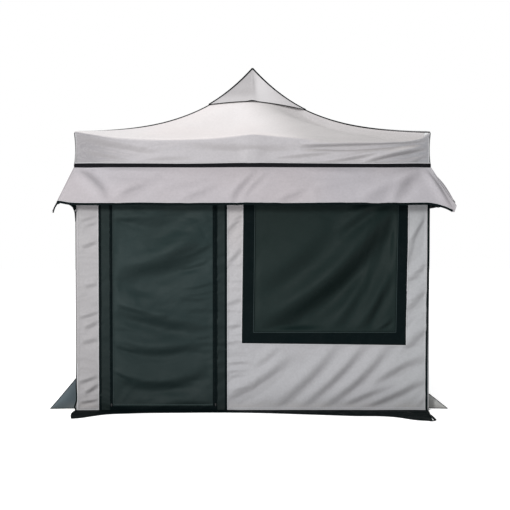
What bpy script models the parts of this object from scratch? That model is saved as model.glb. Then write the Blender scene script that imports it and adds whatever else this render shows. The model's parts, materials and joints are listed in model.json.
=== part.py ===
"""A square pop-up tent with a vented roof, flared eaves, a zipped door and a wide window.

Metres, +Z up. The origin is on the ground under the middle of the tent, and the front,
with the door and the window, faces -Y. Cloth is modelled 8 mm thick, as a solid stand-in.
"""

import math

import bmesh
import bpy
from mathutils import Matrix, Vector

# Driving sizes of the whole tent
HALF_WIDTH = 1.5
EAVE_HEIGHT = 2.36
PEAK_HEIGHT = 3.145
CLOTH = 0.008
ROOF_CLOTH = 0.010
GAP = 0.0003

# Hollow roof: the hips leave the corners almost level and steepen towards the peak
STRAIGHT_SHARE = 0.242
HOLLOW_POWER = 2.9
EAVE_SAG = 0.055
EAVE_MIDDLE_DROP = 0.016
SAG_FADE_POWER = 3

# Vent at the peak: places along a hip, from 0 at the corner to 1 at the peak
VENT_HOLE_AT = 0.77
CAP_LIP_AT = 0.68
TUCK_FROM = 0.5
CAP_CLEARANCE = 0.002
CAP_ARCH = 0.055

# Fascia, its black band and the flared skirt below it
FASCIA_BOTTOM = 2.058
BAND_HEIGHT = 0.032
BAND_THICKNESS = 0.002
SKIRT_FLARE = 0.165
SKIRT_HEM = 1.745
EAR_DROP = 0.075
EAR_FROM = 0.9
EAR_POWER = 1.4

# Walls
WALL_TOP = 2.08
GROUND_BAND_HEIGHT = 0.035
WALL_OUTSIDE = HALF_WIDTH - CLOTH - GAP
WALL_INSIDE = WALL_OUTSIDE - CLOTH
WALL_BOTTOM = GROUND_BAND_HEIGHT + GAP

# Door, seen from outside: the opening's two sides, then what fills it
DOOR_LEFT = -1.288
DOOR_RIGHT = -0.217
DOOR_TOP = 1.92
DOOR_STRIP = 0.083
ZIP_WIDTH = 0.025
ZIP_STANDS_OUT = 0.002

# Window
WINDOW_LEFT = -0.077
WINDOW_RIGHT = 1.314
WINDOW_BOTTOM = 0.572
WINDOW_TOP = 1.87
WINDOW_BORDER = 0.090

# Cloth on the ground in front and behind, pulled out to a point at each corner
FLAP_THICKNESS = 0.006
FLAP_MIDDLE = 0.075
FLAP_POINT_REACH = 0.40
FLAP_POINT_INSET = 0.052
FLAP_CURVE_POWER = 5
FLAP_END = 0.010

# Pegged triangles beside the corners
STORM_FLAP_REACH = 0.21
STORM_FLAP_SETBACK = 0.085
STORM_FLAP_HEIGHT_LEFT = 0.28
STORM_FLAP_HEIGHT_RIGHT = 0.14

# Folding steel frame inside
LEG_TUBE = 0.032
LOWER_LEG_TUBE = 0.026
LOWER_LEG_TOP = 0.95
LEG_LINE = WALL_INSIDE - 2 * GAP - LEG_TUBE / 2
LEG_TOP = EAVE_HEIGHT - ROOF_CLOTH - GAP
FOOT_SIZE = 0.09
FOOT_THICKNESS = 0.005
BAR_THICKNESS = 0.012
BAR_HEIGHT = 0.025
UPPER_JOINT = 2.27
LOWER_JOINT = 2.00
JOINT_LENGTH = 0.03
JOINT_WIDTH = 0.024
JOINT_HEIGHT = 0.044
POST_WIDTH = 0.028
POST_CLEARANCE = 0.0008
HUB_WIDTH = 0.06
HUB_LOWER_JOINT = 2.31
HUB_UPPER_JOINT = 2.60
HUB_MARGIN = 0.035
MAST_RADIUS = 0.015
MAST_TOP = 3.112
MAST_SIDES = 16

SIDES = (("front", 0), ("right", 90), ("rear", 180), ("left", 270))
CORNERS = (("front_left", -1, -1), ("front_right", 1, -1), ("rear_right", 1, 1), ("rear_left", -1, 1))


# Materials

def material(name, colour, roughness, metallic=0.0):
    """Make one plain surface."""
    surface = bpy.data.materials.new(name)
    surface.use_nodes = True
    shader = surface.node_tree.nodes["Principled BSDF"]
    shader.inputs["Base Color"].default_value = (*colour, 1.0)
    shader.inputs["Roughness"].default_value = roughness
    shader.inputs["Metallic"].default_value = metallic
    return surface


# Mesh tools

def add_object(name, mesh, surface, degrees=0):
    """Show a mesh as a named piece, turned about the tent's middle."""
    piece = bpy.data.objects.new(name, mesh)
    piece.rotation_euler.z = math.radians(degrees)
    bpy.context.scene.collection.objects.link(piece)
    if not mesh.materials:
        mesh.materials.append(surface)
    return piece


def finish_mesh(bm, name):
    """Turn every face outwards and store the mesh."""
    bmesh.ops.recalc_face_normals(bm, faces=bm.faces)
    mesh = bpy.data.meshes.new(name)
    bm.to_mesh(mesh)
    bm.free()
    return mesh


def box_mesh(name, low, high):
    """A straight block between two corners."""
    bm = bmesh.new()
    bmesh.ops.create_cube(bm, size=1.0)
    bmesh.ops.scale(bm, vec=Vector(high) - Vector(low), verts=bm.verts)
    bmesh.ops.translate(bm, vec=(Vector(high) + Vector(low)) / 2, verts=bm.verts)
    return finish_mesh(bm, name)


def bar_mesh(name, start, end):
    """A flat steel bar between two joints."""
    run = Vector(end) - Vector(start)
    bm = bmesh.new()
    bmesh.ops.create_cube(bm, size=1.0)
    bmesh.ops.scale(bm, vec=(run.length, BAR_THICKNESS, BAR_HEIGHT), verts=bm.verts)
    turn = run.to_track_quat("X", "Z").to_matrix().to_4x4()
    middle = Matrix.Translation((Vector(start) + Vector(end)) / 2)
    bmesh.ops.transform(bm, matrix=middle @ turn, verts=bm.verts)
    return finish_mesh(bm, name)


def bent_slab(name, columns, rows, place):
    """A flat slab of columns by rows, bent to shape by place(across, along, depth).

    across and along run from -1 to 1, and depth is 0 on the outside and 1 on the inside.
    """
    bm = bmesh.new()
    bmesh.ops.create_grid(bm, x_segments=columns, y_segments=rows, size=1.0)
    made = bmesh.ops.extrude_face_region(bm, geom=bm.faces[:])
    inner = [item for item in made["geom"] if isinstance(item, bmesh.types.BMVert)]
    bmesh.ops.translate(bm, vec=(0, 0, 1), verts=inner)
    for vertex in bm.verts:
        vertex.co = place(vertex.co.x, vertex.co.y, vertex.co.z)
    return finish_mesh(bm, name)


def combine(name, meshes, operation):
    """Fuse meshes into one body, or cut the later ones out of the first."""
    pieces = [add_object(f"{name}_{number}", mesh, None) for number, mesh in enumerate(meshes)]
    for tool in pieces[1:]:
        boolean = pieces[0].modifiers.new(operation.lower(), "BOOLEAN")
        boolean.operation = operation
        boolean.solver = "EXACT"
        boolean.object = tool
    graph = bpy.context.evaluated_depsgraph_get()
    result = bpy.data.meshes.new_from_object(pieces[0].evaluated_get(graph))
    result.name = name
    result.materials.clear()
    for piece in pieces:
        bpy.data.objects.remove(piece)
    return result


def four_sides(name, mesh, surface):
    """The same piece on each side of the tent."""
    for side, degrees in SIDES:
        add_object(f"{name}_{side}", mesh, surface, degrees)


# Roof form

def hip_height(along):
    """Height of a hip, from 0 at the corner to 1 at the peak."""
    hollow = (1 - STRAIGHT_SHARE) * along ** HOLLOW_POWER
    return EAVE_HEIGHT + (PEAK_HEIGHT - EAVE_HEIGHT) * (STRAIGHT_SHARE * along + hollow)


def eave_dip(across):
    """How far the cloth hangs below the corners, between them and the middle joint."""
    wave = math.sin(math.pi * abs(across)) ** 2
    return EAVE_SAG * wave + EAVE_MIDDLE_DROP * (1 - abs(across))


def roof_tuck(along):
    """How far the main roof dips to pass below the vent cap."""
    at_lip = ROOF_CLOTH - CAP_CLEARANCE + GAP
    return at_lip * (max(0.0, along - TUCK_FROM) / (CAP_LIP_AT - TUCK_FROM)) ** 2


def roof_height(across, along):
    """Height of the main roof's outside."""
    dip = eave_dip(across) * (1 - along) ** SAG_FADE_POWER
    return hip_height(along) - roof_tuck(along) - dip


def cap_height(across, along):
    """Height of the vent cap's outside, arched up between the hips."""
    fade = ((1 - along) / (1 - CAP_LIP_AT)) ** 2
    return hip_height(along) + CAP_CLEARANCE + CAP_ARCH * (1 - across * across) * fade


# Roof

def roof_panel():
    """One of the four panels sewn together along the hips."""
    rows_to_lip = 10
    rows_past_lip = 2

    def place(across, along, depth):
        row = (along + 1) / 2 * (rows_to_lip + rows_past_lip)
        if row <= rows_to_lip:
            at = row / rows_to_lip * CAP_LIP_AT
        else:
            at = CAP_LIP_AT + (row - rows_to_lip) / rows_past_lip * (VENT_HOLE_AT - CAP_LIP_AT)
        half = HALF_WIDTH * (1 - at)
        return Vector((across * (half - GAP), -half, roof_height(across, at) - depth * ROOF_CLOTH))

    return bent_slab("roof_panel", 16, rows_to_lip + rows_past_lip, place)


def vent_cap():
    """The raised cap over the vent: four hollow slopes in one skin."""
    columns = 12
    rows = 8
    bm = bmesh.new()
    for side, degrees in SIDES:
        turn = Matrix.Rotation(math.radians(degrees), 3, "Z")
        grid = []
        for row in range(rows + 1):
            at = CAP_LIP_AT + (1 - CAP_LIP_AT) * row / rows
            half = HALF_WIDTH * (1 - at)
            line = []
            for column in range(columns + 1):
                across = 2 * column / columns - 1
                point = Vector((across * half, -half, cap_height(across, at)))
                line.append(bm.verts.new(turn @ point))
            grid.append(line)
        for below, above in zip(grid, grid[1:]):
            for a, b, c, d in zip(below, below[1:], above[1:], above):
                bm.faces.new((a, b, c, d))
    bmesh.ops.remove_doubles(bm, verts=bm.verts, dist=1e-5)
    made = bmesh.ops.extrude_face_region(bm, geom=bm.faces[:])
    inner = [item for item in made["geom"] if isinstance(item, bmesh.types.BMVert)]
    bmesh.ops.translate(bm, vec=(0, 0, -ROOF_CLOTH), verts=inner)
    return finish_mesh(bm, "vent_cap")


def fascia_panel():
    """The upright cloth below the eave, mitred at the corners."""
    def place(across, up, depth):
        half = HALF_WIDTH - depth * CLOTH
        top = EAVE_HEIGHT - eave_dip(across) - ROOF_CLOTH - GAP
        height = FASCIA_BOTTOM + (up + 1) / 2 * (top - FASCIA_BOTTOM)
        return Vector((across * (half - GAP), -half, height))

    return bent_slab("fascia", 16, 2, place)


def eave_band():
    """The black band sewn round the foot of the fascia."""
    inside = HALF_WIDTH + GAP
    outside = inside + BAND_THICKNESS
    top = FASCIA_BOTTOM + BAND_HEIGHT
    ring = box_mesh("ring", (-outside, -outside, FASCIA_BOTTOM), (outside, outside, top))
    core = box_mesh("core", (-inside, -inside, FASCIA_BOTTOM - 1), (inside, inside, top + 1))
    return combine("eave_band", [ring, core], "DIFFERENCE")


def skirt_panel():
    """The flared skirt below the band, with ears that hang lower at the corners."""
    def place(across, up, depth):
        eased = math.sin(across * math.pi / 2)
        down = (1 - up) / 2
        ear = EAR_DROP * (max(0.0, abs(eased) - EAR_FROM) / (1 - EAR_FROM)) ** EAR_POWER
        half = HALF_WIDTH + SKIRT_FLARE * down - depth * CLOTH
        top = FASCIA_BOTTOM - GAP
        return Vector((eased * (half - GAP), -half, top - down * (top - SKIRT_HEM + ear)))

    return bent_slab("skirt", 24, 3, place)


# Walls, door and window

def front_block(name, left, right, bottom, top, stands_out=0.0):
    """A flat piece in the plane of the front wall."""
    low = (left, -WALL_OUTSIDE - stands_out, bottom)
    return box_mesh(name, low, (right, -WALL_INSIDE + stands_out, top))


def front_wall():
    """The front wall with the doorway and the window cut through."""
    wall = front_block("wall", -WALL_OUTSIDE, WALL_OUTSIDE, WALL_BOTTOM, WALL_TOP)
    doorway = front_block("doorway", DOOR_LEFT, DOOR_RIGHT, WALL_BOTTOM - 1, DOOR_TOP, 1)
    window = front_block("window", WINDOW_LEFT, WINDOW_RIGHT, WINDOW_BOTTOM, WINDOW_TOP, 1)
    return combine("front_wall", [wall, doorway, window], "DIFFERENCE")


def side_wall(name, sign):
    """A left or right wall, between the front and rear walls."""
    inner, outer = sorted((sign * WALL_INSIDE, sign * WALL_OUTSIDE))
    reach = WALL_INSIDE - GAP
    return box_mesh(name, (inner, -reach, WALL_BOTTOM), (outer, reach, WALL_TOP))


def rear_wall():
    """The plain wall at the back."""
    low = (-WALL_OUTSIDE, WALL_INSIDE, WALL_BOTTOM)
    return box_mesh("rear_wall", low, (WALL_OUTSIDE, WALL_OUTSIDE, WALL_TOP))


def door_pieces(dark, black):
    """The zipped door: a panel, a zip at each side and a strip beyond each zip."""
    strip = DOOR_STRIP - GAP
    edges = (
        ("door_strip_left", DOOR_LEFT + GAP, DOOR_LEFT + strip, 0.0, dark),
        ("door_zip_left", DOOR_LEFT + DOOR_STRIP, DOOR_LEFT + DOOR_STRIP + ZIP_WIDTH, ZIP_STANDS_OUT, black),
        ("door_panel", DOOR_LEFT + DOOR_STRIP + ZIP_WIDTH + GAP, DOOR_RIGHT - DOOR_STRIP - ZIP_WIDTH - GAP, 0.0, dark),
        ("door_zip_right", DOOR_RIGHT - DOOR_STRIP - ZIP_WIDTH, DOOR_RIGHT - DOOR_STRIP, ZIP_STANDS_OUT, black),
        ("door_strip_right", DOOR_RIGHT - strip, DOOR_RIGHT - GAP, 0.0, dark),
    )
    for name, left, right, stands_out, surface in edges:
        mesh = front_block(name, left, right, WALL_BOTTOM, DOOR_TOP - GAP, stands_out)
        add_object(name, mesh, surface)


def window_border():
    """The black border sewn round the window."""
    outer = front_block("outer", WINDOW_LEFT + GAP, WINDOW_RIGHT - GAP, WINDOW_BOTTOM + GAP,
                        WINDOW_TOP - GAP, ZIP_STANDS_OUT)
    inner = front_block("inner", WINDOW_LEFT + WINDOW_BORDER, WINDOW_RIGHT - WINDOW_BORDER,
                        WINDOW_BOTTOM + WINDOW_BORDER, WINDOW_TOP - WINDOW_BORDER, 1)
    return combine("window_border", [outer, inner], "DIFFERENCE")


def window_panel():
    """The dark blind that fills the window."""
    inset = WINDOW_BORDER + GAP
    return front_block("window_panel", WINDOW_LEFT + inset, WINDOW_RIGHT - inset,
                       WINDOW_BOTTOM + inset, WINDOW_TOP - inset)


# Cloth at the ground

def flap_reach(across):
    """How far the ground flap reaches forward, at a place from -1 to 1 between its points."""
    return FLAP_MIDDLE + (FLAP_POINT_REACH - FLAP_MIDDLE) * abs(across) ** FLAP_CURVE_POWER


def ground_flap():
    """The black band at the foot of the front wall, and its flap on the ground."""
    point = WALL_OUTSIDE - FLAP_POINT_INSET
    steps = 12
    stations = [(-WALL_OUTSIDE, FLAP_END)]
    for step in range(-steps, steps + 1):
        across = math.sin(step / steps * math.pi / 2)
        stations.append((across * point, flap_reach(across)))
    stations.append((WALL_OUTSIDE, FLAP_END))
    bm = bmesh.new()
    rings = []
    for x, reach in stations:
        edge = -WALL_OUTSIDE - reach
        profile = ((-WALL_INSIDE, 0), (edge, 0), (edge, FLAP_THICKNESS), (-WALL_OUTSIDE, FLAP_THICKNESS),
                   (-WALL_OUTSIDE, GROUND_BAND_HEIGHT), (-WALL_INSIDE, GROUND_BAND_HEIGHT))
        rings.append([bm.verts.new((x, y, z)) for y, z in profile])
    for near, far in zip(rings, rings[1:]):
        for index in range(len(near)):
            after = (index + 1) % len(near)
            bm.faces.new((near[index], near[after], far[after], far[index]))
    bm.faces.new(rings[0])
    bm.faces.new(rings[-1])
    return finish_mesh(bm, "ground_flap")


def side_ground_band(name, sign):
    """The black band at the foot of a side wall."""
    inner, outer = sorted((sign * WALL_INSIDE, sign * WALL_OUTSIDE))
    reach = WALL_INSIDE - GAP
    return box_mesh(name, (inner, -reach, 0), (outer, reach, GROUND_BAND_HEIGHT))


def storm_flap(name, sign, front, height):
    """An upright triangle pegged out sideways beside a corner."""
    wall = sign * (WALL_OUTSIDE + GAP)
    tip = sign * (WALL_OUTSIDE + STORM_FLAP_REACH)
    y = front * (WALL_OUTSIDE - STORM_FLAP_SETBACK)
    bm = bmesh.new()
    corners = [bm.verts.new((x, y, z)) for x, z in ((wall, 0), (tip, 0), (wall, height))]
    made = bmesh.ops.extrude_face_region(bm, geom=[bm.faces.new(corners)])
    moved = [item for item in made["geom"] if isinstance(item, bmesh.types.BMVert)]
    bmesh.ops.translate(bm, vec=(0, CLOTH, 0), verts=moved)
    return finish_mesh(bm, name)


# Frame

def leg(name, x_sign, y_sign):
    """A square telescopic leg on its foot plate."""
    x = x_sign * LEG_LINE
    y = y_sign * LEG_LINE
    outer = LEG_LINE + LEG_TUBE / 2
    inner = outer - FOOT_SIZE
    x_low, x_high = sorted((x_sign * inner, x_sign * outer))
    y_low, y_high = sorted((y_sign * inner, y_sign * outer))
    upper = box_mesh("upper", (x - LEG_TUBE / 2, y - LEG_TUBE / 2, LOWER_LEG_TOP),
                     (x + LEG_TUBE / 2, y + LEG_TUBE / 2, LEG_TOP))
    lower = box_mesh("lower", (x - LOWER_LEG_TUBE / 2, y - LOWER_LEG_TUBE / 2, FOOT_THICKNESS / 2),
                     (x + LOWER_LEG_TUBE / 2, y + LOWER_LEG_TUBE / 2, LOWER_LEG_TOP + LEG_TUBE))
    foot = box_mesh("foot", (x_low, y_low, 0), (x_high, y_high, FOOT_THICKNESS))
    return combine(name, [upper, lower, foot], "UNION")


def joint_block(name, x, y, z, length, width):
    """A plastic joint that the bars are pinned in."""
    low = (x - length / 2, y - width / 2, z - JOINT_HEIGHT / 2)
    return box_mesh(name, low, (x + length / 2, y + width / 2, z + JOINT_HEIGHT / 2))


def side_truss():
    """Two crossed pairs of bars between the front legs, joined at a post in the middle."""
    end = LEG_LINE - LEG_TUBE / 2 - GAP - JOINT_LENGTH / 2
    post_outside = LEG_LINE + POST_WIDTH / 2
    post_at = 1 - post_outside / HALF_WIDTH
    post_top = roof_height(0, post_at) - ROOF_CLOTH - POST_CLEARANCE
    post_low = (-POST_WIDTH / 2, -post_outside, LOWER_JOINT - JOINT_HEIGHT / 2)
    parts = [box_mesh("post", post_low, (POST_WIDTH / 2, -LEG_LINE + POST_WIDTH / 2, post_top))]
    for sign in (-1, 1):
        for z, other in ((UPPER_JOINT, LOWER_JOINT), (LOWER_JOINT, UPPER_JOINT)):
            parts.append(joint_block("joint", sign * end, -LEG_LINE, z, JOINT_LENGTH, JOINT_WIDTH))
            parts.append(bar_mesh("bar", (sign * end, -LEG_LINE, z), (0, -LEG_LINE, other)))
    return combine("side_truss", parts, "UNION")


def roof_truss():
    """A crossed pair of bars from the middle of the front truss to the hub."""
    outer = -(LEG_LINE - POST_WIDTH / 2 - GAP - JOINT_LENGTH / 2)
    inner = -(HUB_WIDTH / 2 + GAP + JOINT_LENGTH / 2)
    pairs = ((UPPER_JOINT, HUB_LOWER_JOINT), (LOWER_JOINT, HUB_UPPER_JOINT))
    parts = []
    for at_side, at_hub in pairs:
        parts.append(bar_mesh("bar", (0, outer, at_side), (0, inner, at_hub)))
        parts.append(joint_block("joint", 0, outer, at_side, JOINT_WIDTH, JOINT_LENGTH))
        parts.append(joint_block("joint", 0, inner, at_hub, JOINT_WIDTH, JOINT_LENGTH))
    return combine("roof_truss", parts, "UNION")


def centre_mast():
    """The hub in the middle, with the mast that lifts the peak."""
    hub = box_mesh("hub", (-HUB_WIDTH / 2, -HUB_WIDTH / 2, HUB_LOWER_JOINT - HUB_MARGIN),
                   (HUB_WIDTH / 2, HUB_WIDTH / 2, HUB_UPPER_JOINT + HUB_MARGIN))
    bm = bmesh.new()
    length = MAST_TOP - HUB_UPPER_JOINT
    bmesh.ops.create_cone(bm, cap_ends=True, segments=MAST_SIDES, radius1=MAST_RADIUS,
                          radius2=MAST_RADIUS, depth=length)
    bmesh.ops.translate(bm, vec=(0, 0, HUB_UPPER_JOINT + length / 2), verts=bm.verts)
    return combine("centre_mast", [hub, finish_mesh(bm, "mast")], "UNION")


def main():
    """Build every piece of the tent."""
    for old in list(bpy.data.objects):
        bpy.data.objects.remove(old)

    roof_cloth = material("roof_cloth", (0.84, 0.79, 0.78), 0.62)
    eave_cloth = material("eave_cloth", (0.50, 0.48, 0.50), 0.70)
    wall_cloth = material("wall_cloth", (0.47, 0.45, 0.46), 0.74)
    dark_cloth = material("dark_cloth", (0.026, 0.038, 0.038), 0.66)
    black_webbing = material("black_webbing", (0.006, 0.008, 0.008), 0.72)
    storm_cloth = material("storm_cloth", (0.10, 0.12, 0.13), 0.72)
    frame_steel = material("frame_steel", (0.62, 0.63, 0.65), 0.38, 0.9)

    four_sides("roof", roof_panel(), roof_cloth)
    add_object("vent_cap", vent_cap(), roof_cloth)
    four_sides("fascia", fascia_panel(), eave_cloth)
    add_object("eave_band", eave_band(), black_webbing)
    four_sides("eave_skirt", skirt_panel(), eave_cloth)

    add_object("front_wall", front_wall(), wall_cloth)
    add_object("right_wall", side_wall("right_wall", 1), wall_cloth)
    add_object("rear_wall", rear_wall(), wall_cloth)
    add_object("left_wall", side_wall("left_wall", -1), wall_cloth)
    door_pieces(dark_cloth, black_webbing)
    add_object("window_border", window_border(), black_webbing)
    add_object("window_panel", window_panel(), dark_cloth)

    flap = ground_flap()
    add_object("ground_flap_front", flap, black_webbing)
    add_object("ground_flap_rear", flap, black_webbing, 180)
    add_object("ground_band_right", side_ground_band("ground_band_right", 1), black_webbing)
    add_object("ground_band_left", side_ground_band("ground_band_left", -1), black_webbing)

    for corner, x_sign, y_sign in CORNERS:
        height = STORM_FLAP_HEIGHT_LEFT if x_sign < 0 else STORM_FLAP_HEIGHT_RIGHT
        name = f"storm_flap_{corner}"
        add_object(name, storm_flap(name, x_sign, y_sign, height), storm_cloth)
        name = f"leg_{corner}"
        add_object(name, leg(name, x_sign, y_sign), frame_steel)

    four_sides("truss", side_truss(), frame_steel)
    four_sides("roof_truss", roof_truss(), frame_steel)
    add_object("centre_mast", centre_mast(), frame_steel)


main()
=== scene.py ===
"""Looks of the pop-up frame tent: its cloth, trims, zips and stitching, the frame's finish and a studio stage."""

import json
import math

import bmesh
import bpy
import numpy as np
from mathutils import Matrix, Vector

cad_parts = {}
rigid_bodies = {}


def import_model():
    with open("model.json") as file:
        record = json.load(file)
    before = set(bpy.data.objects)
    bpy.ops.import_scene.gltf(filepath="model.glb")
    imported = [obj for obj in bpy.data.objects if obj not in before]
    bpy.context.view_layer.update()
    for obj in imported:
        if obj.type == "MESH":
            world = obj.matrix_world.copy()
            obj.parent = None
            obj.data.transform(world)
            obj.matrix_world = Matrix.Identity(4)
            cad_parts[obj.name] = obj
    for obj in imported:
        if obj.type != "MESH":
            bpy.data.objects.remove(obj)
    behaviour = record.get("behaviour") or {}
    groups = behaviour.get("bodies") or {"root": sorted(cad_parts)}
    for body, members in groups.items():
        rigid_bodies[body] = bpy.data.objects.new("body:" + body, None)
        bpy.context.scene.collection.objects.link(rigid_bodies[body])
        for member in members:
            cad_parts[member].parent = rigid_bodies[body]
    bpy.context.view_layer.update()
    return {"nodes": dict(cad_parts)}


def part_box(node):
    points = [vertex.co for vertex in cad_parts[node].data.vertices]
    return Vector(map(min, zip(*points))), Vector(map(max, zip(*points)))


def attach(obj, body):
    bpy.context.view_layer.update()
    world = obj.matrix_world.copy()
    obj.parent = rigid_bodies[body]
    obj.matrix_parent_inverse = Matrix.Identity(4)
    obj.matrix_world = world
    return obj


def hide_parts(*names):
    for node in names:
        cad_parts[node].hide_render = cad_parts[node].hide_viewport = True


bl_info = {
    "name": "Pop-up frame tent",
    "version": (1, 0, 0),
    "blender": (4, 5, 0),
    "location": "View3D > Sidebar > Tent",
    "description": "Dresses the tent's frame in cloth, trims and stitching, on a plain stage",
    "category": "Object",
}

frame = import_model()

# Places read from the frame, in metres
ROOF_LOW, ROOF_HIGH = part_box("roof_front")
CAP_LOW, CAP_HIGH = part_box("vent_cap")
BAND_LOW, BAND_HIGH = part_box("eave_band")
SKIRT_LOW, SKIRT_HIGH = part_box("eave_skirt_front")
WALL_LOW, WALL_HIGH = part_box("front_wall")
DOOR_LOW, DOOR_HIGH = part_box("door_panel")
STRIP_LEFT_LOW, STRIP_LEFT_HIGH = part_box("door_strip_left")
STRIP_RIGHT_LOW, STRIP_RIGHT_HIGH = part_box("door_strip_right")
ZIP_LEFT_LOW, ZIP_LEFT_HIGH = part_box("door_zip_left")
ZIP_RIGHT_LOW, ZIP_RIGHT_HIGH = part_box("door_zip_right")
BORDER_LOW, BORDER_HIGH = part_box("window_border")
PANE_LOW, PANE_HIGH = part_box("window_panel")
FLAP_LOW, FLAP_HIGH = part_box("ground_flap_front")
TRUSS_LOW, TRUSS_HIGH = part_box("truss_front")
MAST_LOW, MAST_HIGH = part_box("centre_mast")

HALF = -ROOF_LOW.y
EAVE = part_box("leg_front_left")[1].z + 0.0103
PEAK = CAP_HIGH.z - 0.002
WALL_OUT = -WALL_LOW.y
WALL_FOOT = 0.001
WALL_TOP = WALL_HIGH.z
LEG_LINE = (TRUSS_HIGH.y + TRUSS_LOW.y) / -2

SIDES = (("front", 0), ("right", 90), ("rear", 180), ("left", 270))
CORNERS = (("front_left", -1, -1), ("front_right", 1, -1), ("rear_right", 1, 1), ("rear_left", -1, 1))

# Hollow roof, as in the frame
STRAIGHT_SHARE = 0.242
HOLLOW_POWER = 2.9
VENT_AT = 0.77
LIP_AT = 0.68
TUCK_FROM = 0.5
ARCH_POWER = 1.55

CAP_CORNERS = {"front_left": 0.724, "front_right": 0.665, "rear_right": 0.675, "rear_left": 0.690}

# How far the eave hangs below its corners, at places across the front
EAVE_LINE = (
    (-1.50, 0.000), (-1.20, 0.040), (-0.75, 0.064), (-0.35, 0.050), (0.00, 0.021),
    (0.40, 0.050), (0.80, 0.090), (1.15, 0.099), (1.38, 0.076), (1.45, 0.050), (1.50, 0.015),
)
EAVE_LINE_PLAIN = (
    (-1.50, 0.000), (-1.10, 0.048), (-0.75, 0.062), (-0.35, 0.046), (0.00, 0.018),
    (0.35, 0.048), (0.75, 0.066), (1.10, 0.050), (1.50, 0.000),
)

# How far the skirt stands out at each corner
CORNER_FLARE = {"front_left": 0.130, "front_right": 0.173, "rear_right": 0.165, "rear_left": 0.150}

# Where the skirt's ear starts and has its lowest point, from the right-hand corner
EAR_FROM = 0.232
EAR_TIP = 0.055

# How far the ground flap reaches out, at places across the front
FLAP_LINE = (
    (-1.47, 0.365), (-1.40, 0.335), (-1.32, 0.265), (-1.25, 0.207), (-1.02, 0.143), (-0.60, 0.112),
    (-0.20, 0.105), (0.10, 0.128), (0.38, 0.175), (0.80, 0.250), (1.20, 0.330), (1.30, 0.420), (1.44, 0.470),
)

# Single folds, each along a curve through three places on its side: across, up, across, up, across, up,
# then its width and its height. The cloth bulges above a curve that runs to the right, and dents below it.
FASCIA_FOLDS = (
    (0.400, 2.236, 0.900, 2.236, 1.470, 2.280, 0.018, 0.0290),
    (0.930, 2.098, 1.210, 2.165, 1.480, 2.206, 0.024, 0.0240),
    (0.620, 2.100, 0.900, 2.135, 1.180, 2.200, 0.018, 0.0090),
    (1.330, 2.095, 1.420, 2.125, 1.500, 2.165, 0.013, 0.0080),
    (0.160, 2.135, 0.440, 2.150, 0.720, 2.190, 0.019, 0.0060),
    (-1.460, 2.300, -1.130, 2.225, -0.780, 2.178, 0.034, 0.0095),
    (-1.450, 2.200, -1.250, 2.150, -1.000, 2.115, 0.028, 0.0069),
    (-1.040, 2.095, -0.780, 2.145, -0.480, 2.130, 0.024, 0.0045),
    (-0.600, 2.250, -0.100, 2.205, 0.450, 2.215, 0.036, 0.0060),
)
SKIRT_FOLDS = (
    (-1.470, 2.040, -1.310, 1.965, -1.170, 1.770, 0.042, -0.0168),
    (-1.180, 1.780, -1.000, 1.870, -0.760, 1.950, 0.038, 0.0123),
    (-1.300, 2.010, -0.950, 1.985, -0.500, 1.975, 0.030, 0.0078),
    (-0.800, 1.865, -0.500, 1.930, -0.200, 1.960, 0.032, 0.0084),
    (-0.600, 1.780, -0.430, 1.840, -0.260, 1.900, 0.028, 0.0095),
    (-0.190, 1.765, -0.090, 1.910, 0.070, 2.040, 0.028, 0.0129),
    (-0.080, 1.790, 0.010, 1.925, 0.160, 2.030, 0.024, 0.0095),
    (0.200, 1.765, 0.320, 1.812, 0.480, 1.870, 0.024, 0.0090),
    (0.520, 1.870, 0.700, 1.915, 0.920, 1.945, 0.030, 0.0090),
    (0.400, 1.990, 0.750, 1.965, 1.100, 1.990, 0.030, 0.0067),
    (0.900, 1.750, 1.080, 1.850, 1.340, 1.970, 0.042, 0.0155),
    (1.160, 1.755, 1.260, 1.930, 1.480, 2.055, 0.040, 0.0169),
    (1.470, 2.050, 1.550, 1.900, 1.660, 1.700, 0.030, -0.0216),
)
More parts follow.
